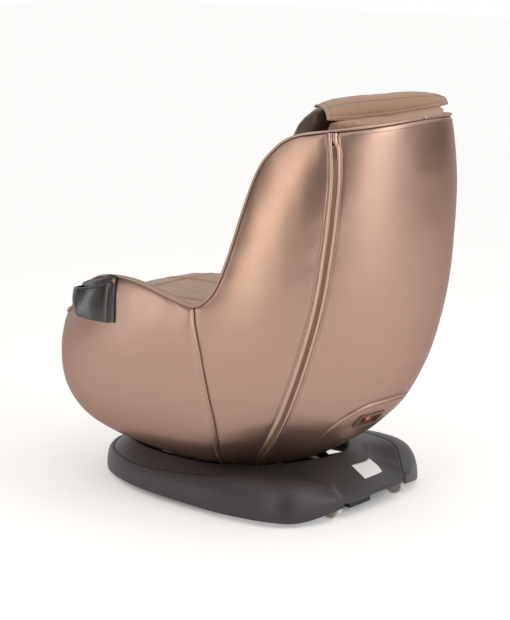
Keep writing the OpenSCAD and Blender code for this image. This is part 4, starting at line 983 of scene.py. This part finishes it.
def oval(wide, long, power, centre=(0, 0), n=28):
    t = np.arange(n) * 2 * np.pi / n
    return [(centre[0] + wide / 2 * np.sign(x) * abs(x)**(2 / power),
             centre[1] + long / 2 * np.sign(y) * abs(y)**(2 / power)) for x, y in zip(np.cos(t), np.sin(t))]


SLIDER_Z = 858


def zip_slider(side, mirror):
    """Slider at the top of the zip, its puller hanging flat in the channel."""
    a = float(zip_a(SLIDER_Z))
    up = skin_normal(a, SLIDER_Z)
    down = unit(skin(float(zip_a(SLIDER_Z - 4)), SLIDER_Z - 4) - skin(a, SLIDER_Z))
    across = unit(np.cross(down, up))
    body = plate(side + "_zip_slider", oval(6.4, 9, 3.2), 2.2, "zip_metal", 0.7)
    puller = plate(side + "_zip_puller", oval(4.0, 18, 3.5), 1.0, "zip_metal", 0.35,
                   hole=oval(2.0, 5.5, 2.6, centre=(0, -4.5)))
    placed(body, skin_in(a, SLIDER_Z, 1.6), across, up, mirror)
    placed(puller, skin_in(a, SLIDER_Z, -0.8) + 9 * down, across, up, mirror)


def tail_stitching():
    for name, grow in (("outer", 7.5), ("inner", -7.5)):
        x, z = tail_arch(161, grow)[8:-8].T
        up = unit(np.cross(rear_points(x, z + 1) - rear_points(x, z - 1),
                           rear_points(x + 1, z) - rear_points(x - 1, z)))
        stitches("tail_stitch_" + name, rear_points(x, z), up, "dark_thread")


# ---- soft goods ----

def solid_copy(node, name, mat):
    """A piece that starts as a CAD node's own shape."""
    mesh = NODES[node].data.copy()
    mesh.name = name
    mesh.materials.clear()
    return new_object(name, mesh, mat)


def applied(obj, modifier):
    bpy.context.view_layer.objects.active = obj
    with bpy.context.temp_override(object=obj, active_object=obj, selected_objects=[obj]):
        bpy.ops.object.modifier_apply(modifier=modifier.name)


def shaped(obj, kind, **settings):
    """Applies a modifier with these settings."""
    modifier = obj.modifiers.new(kind, kind)
    for key, value in settings.items():
        setattr(modifier, key, value)
    applied(obj, modifier)


def read_rows(items, key):
    values = np.empty(len(items) * 3)
    items.foreach_get(key, values)
    return values.reshape(-1, 3)


def coordinates(obj):
    return read_rows(obj.data.vertices, "co")


def set_coordinates(obj, co):
    obj.data.vertices.foreach_set("co", np.ascontiguousarray(co).ravel())
    obj.data.update()


def vertex_normals(obj):
    return read_rows(obj.data.vertex_normals, "vector")


CLOTH = {"quality": 5, "mass": 0.3, "use_pressure": True, "tension_stiffness": 15, "compression_stiffness": 15,
         "shear_stiffness": 6, "bending_stiffness": 0.5}
CLOTH_FRAMES = 20


def swollen(obj, pressure, cap, shrink):
    """Blows the piece up with a cloth simulation; no point moves further than cap."""
    start = coordinates(obj) - shrink * vertex_normals(obj)
    set_coordinates(obj, start)
    mod = obj.modifiers.new("cloth", "CLOTH")
    for key, value in CLOTH.items():
        setattr(mod.settings, key, value)
    mod.settings.uniform_pressure_force = pressure
    mod.settings.effector_weights.gravity = 0
    mod.collision_settings.use_collision = False
    mod.point_cache.frame_start = 1
    mod.point_cache.frame_end = CLOTH_FRAMES
    scene = bpy.context.scene
    for k in range(1, CLOTH_FRAMES + 1):
        scene.frame_set(k)
    applied(obj, mod)
    scene.frame_set(1)
    move = coordinates(obj) - start
    length = np.linalg.norm(move, axis=1, keepdims=True)
    set_coordinates(obj, start + move * np.minimum(1, cap / np.maximum(length, 1e-9)))


def cushion(node, name, mat, slot, voxel, cap, seed, rounds=6, pressure=4.0, wrinkle=0.8, fill=0.7,
            groove=None, shrink=0.0015):
    """A padded piece made from its CAD solid: remeshed, blown up, then creased along its seams."""
    obj = solid_copy(node, name, mat)
    shaped(obj, "REMESH", mode="VOXEL", voxel_size=voxel)
    shaped(obj, "SMOOTH", factor=0.5, iterations=rounds)
    swollen(obj, pressure, cap, shrink)
    shaped(obj, "SUBSURF", levels=1, render_levels=1)
    obj.data.polygons.foreach_set("use_smooth", [True] * len(obj.data.polygons))
    co, normal = coordinates(obj) / MM, vertex_normals(obj)
    shift = wrinkle * ripple(co, 55, seed) + 0.4 * wrinkle * ripple(co, 21, seed + 50)
    if groove is not None:
        shift = shift - groove(co, normal)
    set_coordinates(obj, (co + shift[:, None] * normal) * MM)
    finish_piece(obj, node, slot=slot)
    return obj


def channel(distance, depth, width):
    return depth * np.exp(-(distance / width)**2)


SEAT_SEAM_X = 92
SEAT_SEAM_Y = (-318, -60)


def seat_groove(co, normal):
    facing = np.clip(normal[:, 2], 0, 1)
    front = np.clip(-normal[:, 1], 0, 1)
    along = channel(np.abs(co[:, 0]) - SEAT_SEAM_X, 7, 5) * np.maximum(facing, front)
    across = sum(channel(co[:, 1] - y, 6, 5) for y in SEAT_SEAM_Y) * facing
    return np.maximum(along, across)


BACK_SEAM_X = 88
BACK_SEAM_Z = (520, 585, 650, 715)


def back_groove(co, normal):
    facing = np.clip(-normal[:, 1], 0, 1)
    bow = 10 * np.abs(co[:, 0] / 200)**2
    along = channel(np.abs(co[:, 0]) - BACK_SEAM_X, 7, 5)
    middle = np.abs(co[:, 0]) < BACK_SEAM_X + 2
    across = sum(channel(co[:, 2] + bow - z, 5.5, 5) for z in BACK_SEAM_Z) * middle
    return np.maximum(along, across) * facing


def pillow_groove(co, normal):
    middle = channel(co[:, 0] - 2, 5, 6) * (normal[:, 2] < 0.6)
    toward_ends = np.clip(np.abs(co[:, 0]) / 190, 0.15, 1)**2
    return middle + 3.2 * np.clip(ripple(co * (1, 0.25, 0.25), 46, 77), 0, 1) * toward_ends


def arm_groove(co, normal):
    return channel(np.abs(co[:, 0]) - 268, 4, 4) * np.clip(normal[:, 2], 0, 1)


def wing_groove(co, normal):
    facing = np.clip(-normal[:, 1] + np.abs(normal[:, 0]), 0, 1)
    return channel(co[:, 2] - 0.9 * (co[:, 1] - 150) - 560, 4, 5) * facing


def plumped(obj):
    """Raises the top pad until it fills the room under the flap."""
    co = coordinates(obj) / MM
    across = np.clip(np.abs(co[:, 0]) / 190, 0, 1)
    along = np.exp(-(np.maximum(340 - co[:, 1], 0) / 20)**2 - (np.maximum(co[:, 1] - 362, 0) / 62)**2)
    high = np.clip((co[:, 2] - 862) / 24, 0, 1)
    co[:, 2] += (4 + 21 * across**1.3) * along * high
    set_coordinates(obj, co * MM)


def make_cushions():
    beige = ("beige", "beige_leather")
    cushion("seat_cushion", "seat_pad", *beige, voxel=0.0065, cap=0.010, seed=41, groove=seat_groove)
    cushion("back_cushion", "back_pad", *beige, voxel=0.0055, cap=0.007, rounds=3, seed=42, groove=back_groove)
    cushion("head_pillow", "neck_pillow", "brown", "brown_leather", voxel=0.006, cap=0.006, rounds=4, seed=43,
            wrinkle=1.4, groove=pillow_groove, fill=0.5, shrink=0.003)
    plumped(cushion("top_pad", "top_cover", *beige, voxel=0.0055, cap=0.003, rounds=2, seed=44, pressure=2))
    for k, side in enumerate(("left", "right")):
        cushion(side + "_arm_pad", side + "_arm_padding", *beige, voxel=0.007, cap=0.004, rounds=3, seed=45 + k,
                groove=arm_groove)
        cushion(side + "_wing_pad", side + "_wing_padding", *beige, voxel=0.007, cap=0.004, rounds=3,
                seed=47 + k, groove=wing_groove)


# Flap sewn to the pillow: depth and height from its front hem to its rear hem, as in the part's source
FLAP_RUN = [(306, 952.1), (313, 954.2), (321, 956), (330, 957), (341, 954), (349, 945), (355, 931), (358, 915)]
FLAP_HALF = 210
FLAP_T = 4.0


def flap_point(s, r):
    """Point of the flap's upper face at share s across (-1 to 1) and r along (0 front, 1 rear)."""
    last = len(FLAP_RUN) - 1
    at = curve([(k, *p) for k, p in enumerate(FLAP_RUN)], r * last)
    rear, front = np.clip(r * last - 4, 0, None) / 3, np.clip(3 - r * last, 0, None) / 3
    return np.stack([s * FLAP_HALF, at[..., 1] - 12 * s + 9 * s**2 + front * 18 * s**4,
                     at[..., 2] + 5 * s - 11 * s**4 - front * 2 * s**2
                     + rear * (16 * s**4 + 5 * s**2 - 5 * s - 5)], -1)


def pillow_flap():
    s, r = np.meshgrid(np.linspace(-1, 1, 120), clearer(0, 1, 60))
    upper = flap_point(s, r)
    normal = grid_normals(upper)
    normal *= np.sign(normal[..., 2:3] + normal[..., 1:2] + 1e-6)
    gap = edge_distance(upper)
    thick = FLAP_T * (0.45 + 0.75 * (1 - np.exp(-gap / 9)))
    hem = channel(gap - 9, 0.9, 2.2)
    wave = 0.9 * ripple(upper, 70, 61) + 0.4 * ripple(upper, 28, 62)
    top = upper + (wave - hem)[..., None] * normal
    low = top - thick[..., None] * normal
    obj = slab("flap", top, low, "beige")
    finish_piece(obj, "pillow_flap", slot="beige_leather")
    rows = {"front": 4, "rear": -5, "ridge": 38, "left": (slice(None), -6), "right": (slice(None), 5)}
    for name, row in rows.items():
        stitches("flap_stitch_" + name, top[row], normal[row], "dark_thread", "beige_leather")


# ---- side pocket ----

POCKET_Y = (-285, -160)
POCKET_Z = 427
POCKET_WALL = 2.4
POCKET_TAPER = 14
POCKET_SHAPE = [[0, 0.6, 492, 497], [0.05, 20, 489, 500], [0.12, 32, 488, 503], [0.25, 34, 490, 509],
                [0.4, 30, 494, 514], [0.6, 24, 500, 521], [0.8, 16, 508, 529], [0.93, 9, 515, 535],
                [1, 0.6, 520, 537]]


def pocket_wall(u, z, t, reach):
    taper = POCKET_TAPER * (1 - np.clip((z - POCKET_Z) / 40, 0, 1))
    a = a_at_y(lerp(POCKET_Y[0] + t + taper, POCKET_Y[1] - t, u), z)
    return skin_in(a, z, -reach * np.ones_like(a))


def pocket_loop(v, t, lift=0.0):
    """A loop round the pocket at share v of its height, t inside its outer faces."""
    u = clearer(0, 1, 60)
    _, out, low, high = curve(POCKET_SHAPE, u).T
    bulge = 1 + 0.10 * math.sin(math.pi * min(max(v, 0), 1))
    outer = pocket_wall(u, lerp(POCKET_Z, low, v) + lift, t, np.maximum(out * bulge - t, 1.6 + t))
    inner = pocket_wall(u, lerp(POCKET_Z, high, v) + lift, t, 1.4 + t)
    return np.vstack([outer, inner[::-1]])


def side_pocket():
    loops = [pocket_loop(0, 4), pocket_loop(0, 1.2, 0.3), pocket_loop(0, 0.2, 1.6)]
    loops += [pocket_loop(v, 0) for v in np.linspace(0.06, 1, 26)]
    loops += [pocket_loop(1, POCKET_WALL / 2, 0.7)]
    loops += [pocket_loop(v, POCKET_WALL) for v in np.linspace(1, 0.08, 16)]
    loops += [pocket_loop(0, 4, POCKET_WALL + 1.5)]
    points = np.stack(loops)
    points[3:-2] += (0.5 * ripple(points, 48, 71))[3:-2, :, None] * (1, 0, 0.2)
    finish_piece(ring_grid("pocket_bag", points, "cloth"), "side_pocket", slot="pocket_fabric")
    rim = pocket_loop(1, POCKET_WALL / 2, 0.6)
    hem = tube_path("pocket_hem", np.vstack([rim, rim[:2]]), 1.9, "cloth", sides=12)
    finish_piece(hem, slot="pocket_fabric")
    seam = pocket_loop(0.90, -0.1)[:len(rim) // 2]
    up = skin_normal(a_at_y(seam[:, 1], seam[:, 2]), seam[:, 2])
    stitches("pocket_stitch", seam, up, "black", "pocket_fabric")


STRAP_Y = -151


def pocket_strap():
    top = float(arm_top(a_at_y(np.array(STRAP_Y), np.array(530.0)))) - 2
    across, z = np.meshgrid(np.linspace(-1, 1, 9), np.linspace(430, top, 40))
    a = a_at_y(STRAP_Y + 7 * across, z)
    crown = 4.3 - 0.9 * np.abs(across)**6 + 0.25 * np.sin(z / 9)
    outer = skin_in(a, z, -crown)
    inner = skin_in(a, z, np.full(z.shape, -1.6))
    finish_piece(slab("strap", outer, inner, "cloth"), "pocket_strap", slot="pocket_fabric")
    for name, column in (("fore", 1), ("aft", -2)):
        stitches("strap_stitch_" + name, outer[:, column], skin_normal(a[:, column], z[:, 0]), "black",
                 "pocket_fabric", pitch=4.5, length=3.2)


# ---- base covers ----

SKIRT_Z = 12
COVER_T = 3
CRADLE_GAP, REAR_GAP = 6.5, 18
FLANGE, LIP = 9, 13
BOWL_REACH, BOWL_DROP = 42, 13
# station, outline x y z, joint line x y z, angle and height of the cradle edge on the cover
BASE_STATIONS = [
    [0, 0, -405, 0, 0, -385, 50, -90, 98],
    [1, 112, -390, 0, 105, -370, 50, -72, 98],
    [2, 205, -312, 0, 188, -306, 49, -50, 98],
    [3, 262, -170, 0, 243, -165, 50, -25, 98],
    [4, 287, 30, 0, 244, 30, 67, 5, 98],
    [5, 289, 140, 0, 222, 140, 85, 33, 103],
    [6, 268, 252, 0, 184, 257, 86, 55, 112],
    [7, 219, 305, 0, 133, 319, 54, 72, 121],
    [8, 112, 343, 18, 108, 341, 33, 82, 127],
    [9, 0, 345, 22, 0, 343, 33, 90, 128],
]
DOWN = np.array([0.0, 0.0, -1.0])


def base_frame_at(s):
    """Outline, joint line, cradle edge and inward direction at station s."""
    r = curve(BASE_STATIONS, np.array(s, float))
    outline = np.array([r[1], r[2], SKIRT_Z + r[3]])
    joint = np.array([r[4], r[5], SKIRT_Z + r[6]])
    edge = skin(r[7], r[8]) - (0, 0, lerp(CRADLE_GAP, REAR_GAP, min(max((s - 5) / 3, 0), 1)))
    flat = (edge - outline) * (1, 1, 0)
    inward = np.array([0.0, -1.0, 0.0]) if s > 8.9 else unit(flat)
    return outline, joint, edge, inward


def bezier(a, b, c, t):
    return (1 - t)**2 * a + 2 * t * (1 - t) * b + t**2 * c


def slope(j, e, t):
    """Point of the centre cover's upper face, share t from its joint line j to its cradle edge e."""
    return bezier(j, lerp(j, e, 0.55) + 2 * DOWN, e, t)


def rounded(profile, radius, steps=4):
    """A closed profile with its corners rounded."""
    out = []
    n = len(profile)
    for k in range(n):
        p, q, s = profile[k], profile[k - 1], profile[(k + 1) % n]
        before, after = np.linalg.norm(q - p), np.linalg.norm(s - p)
        ra, rb = min(radius, 0.45 * before), min(radius, 0.45 * after)
        a, b = p + (q - p) / before * ra, p + (s - p) / after * rb
        out += [bezier(a, p, b, t) for t in np.linspace(0, 1, steps)]
    return np.array(out)


def centre_cover():
    def loop(s):
        _, j, e, n = base_frame_at(s)
        deep = 1 - min(max((s - 4.4) / 1.4, 0), 1)
        tip = e + lerp(LIP, BOWL_DROP, deep) * DOWN + lerp(1, BOWL_REACH, deep) * n
        under = tip - lerp(1, 0.5, deep) * COVER_T * n + 0.85 * deep * COVER_T * DOWN
        top = [slope(j, e, t) for t in (0.12, 0.3, 0.5, 0.7, 0.88)]
        below = [p + COVER_T * DOWN for p in top[::-1]]
        return rounded([j + FLANGE * DOWN, j, *top, e, tip, under, e - COVER_T * n + COVER_T * DOWN, *below,
                        j + COVER_T * n + COVER_T * DOWN, j + COVER_T * n + FLANGE * DOWN], 2.6)
    half = [loop(s) for s in np.linspace(0, 9, 110)]
    other = [p * (-1, 1, 1) for p in half[-2:0:-1]]
    obj = ring_grid("centre_cover", np.stack(half + other + half[:1]), "plastic", capped=False)
    finish_piece(obj, "base_center_cover", body="base", slot="dark_plastic")


# Station and share up the slope at the two ends of the patch's upper and lower sides
PATCH_UPPER = np.array([[7.53, 0.59], [8.90, 0.63]])
PATCH_LOWER = np.array([[8.18, 0.29], [8.97, 0.27]])


def blank_patch():
    """The empty white patch stuck on the rear slope of the centre cover."""
    def at(p, q):
        s, t = lerp(lerp(*PATCH_UPPER, p), lerp(*PATCH_LOWER, p), q)
        _, j, e, _ = base_frame_at(s)
        return slope(j, e, t) * (-1, 1, 1) + (0, 0, 0.9)
    sheet = np.array([[at(p, q) for q in np.linspace(0, 1, 16)] for p in np.linspace(0, 1, 22)])
    finish_piece(slab("blank_patch", sheet, sheet - (0, 0, 0.7), "paper"), body="base", slot="dark_plastic")


def side_cover(side, mirror):
    def loop(s):
        o, j, _, n = base_frame_at(s)
        j = j - SEAM_GAP * n
        c = np.array([o[0], o[1], SKIRT_Z + 1.12 * (j[2] - SKIRT_Z)])
        outer = [bezier(o, c, j, t) for t in np.linspace(0, 1, 14)]
        inner = [bezier(o, c, j, t) + COVER_T * (1 - t) * n + COVER_T * t * DOWN
                 for t in (0.92, 0.78, 0.62, 0.46, 0.3, 0.15, 0)]
        points = rounded([*outer, j + (FLANGE - 2) * DOWN, j - COVER_T * n + (FLANGE - 2) * DOWN, *inner], 1.8)
        points[:, 0] = np.maximum(points[:, 0], SEAM_GAP / 2)
        return points
    points = np.stack([loop(s) for s in np.linspace(0, 7.93, 110)])
    obj = ring_grid(side + "_side_skirt", points, "plastic", mirror=mirror)
    finish_piece(obj, "base_" + side + "_cover", body="base", slot="dark_plastic")


# ---- carried-over CAD nodes ----

FINISHES = {
    "frame": ["base_frame", "wheel_brackets", "tilt_lugs", "seat_frame", "guide_rails"],
    "grey": ["carriage_frame", "actuator_tube", "left_massage_arm", "right_massage_arm"],
    "steel": ["tilt_pins", "actuator_lower_pin", "actuator_upper_pin", "actuator_rod", "drive_shaft",
              "arm_shaft"],
    "black": ["rear_foot_block", "power_inlet", "air_pump", "bottom_pan", "control_box", "carriage_motor"],
    "bronze_plastic": ["service_bezel"],
    "rubber": ["base_feet"],
    "milky": ["left_wheel", "right_wheel"],
    "nylon": ["left_upper_roller", "left_lower_roller", "right_upper_roller", "right_lower_roller"],
    "board": ["seat_board"],
    "case": ["power_supply"],
    "zip_metal": ["pocket_stud"],
    "red": ["power_switch"],
}


def finish_nodes():
    for mat, names in FINISHES.items():
        for name in names:
            obj = NODES[name]
            obj.data.materials.clear()
            obj.data.materials.append(MAT[mat])


def main():
    make_camera()
    make_studio()
    finish_nodes()
    for side, mirror in (("left", False), ("right", True)):
        arm_panel(side, mirror)
        side_panel(side, mirror)
        rim_band(side, mirror)
        arm_seam(side, mirror)
        rear_zip(side, mirror)
        side_cover(side, mirror)
    front_panel()
    back_panel()
    tail_panel()
    tail_stitching()
    centre_cover()
    blank_patch()
    make_cushions()
    pillow_flap()
    side_pocket()
    pocket_strap()


main()
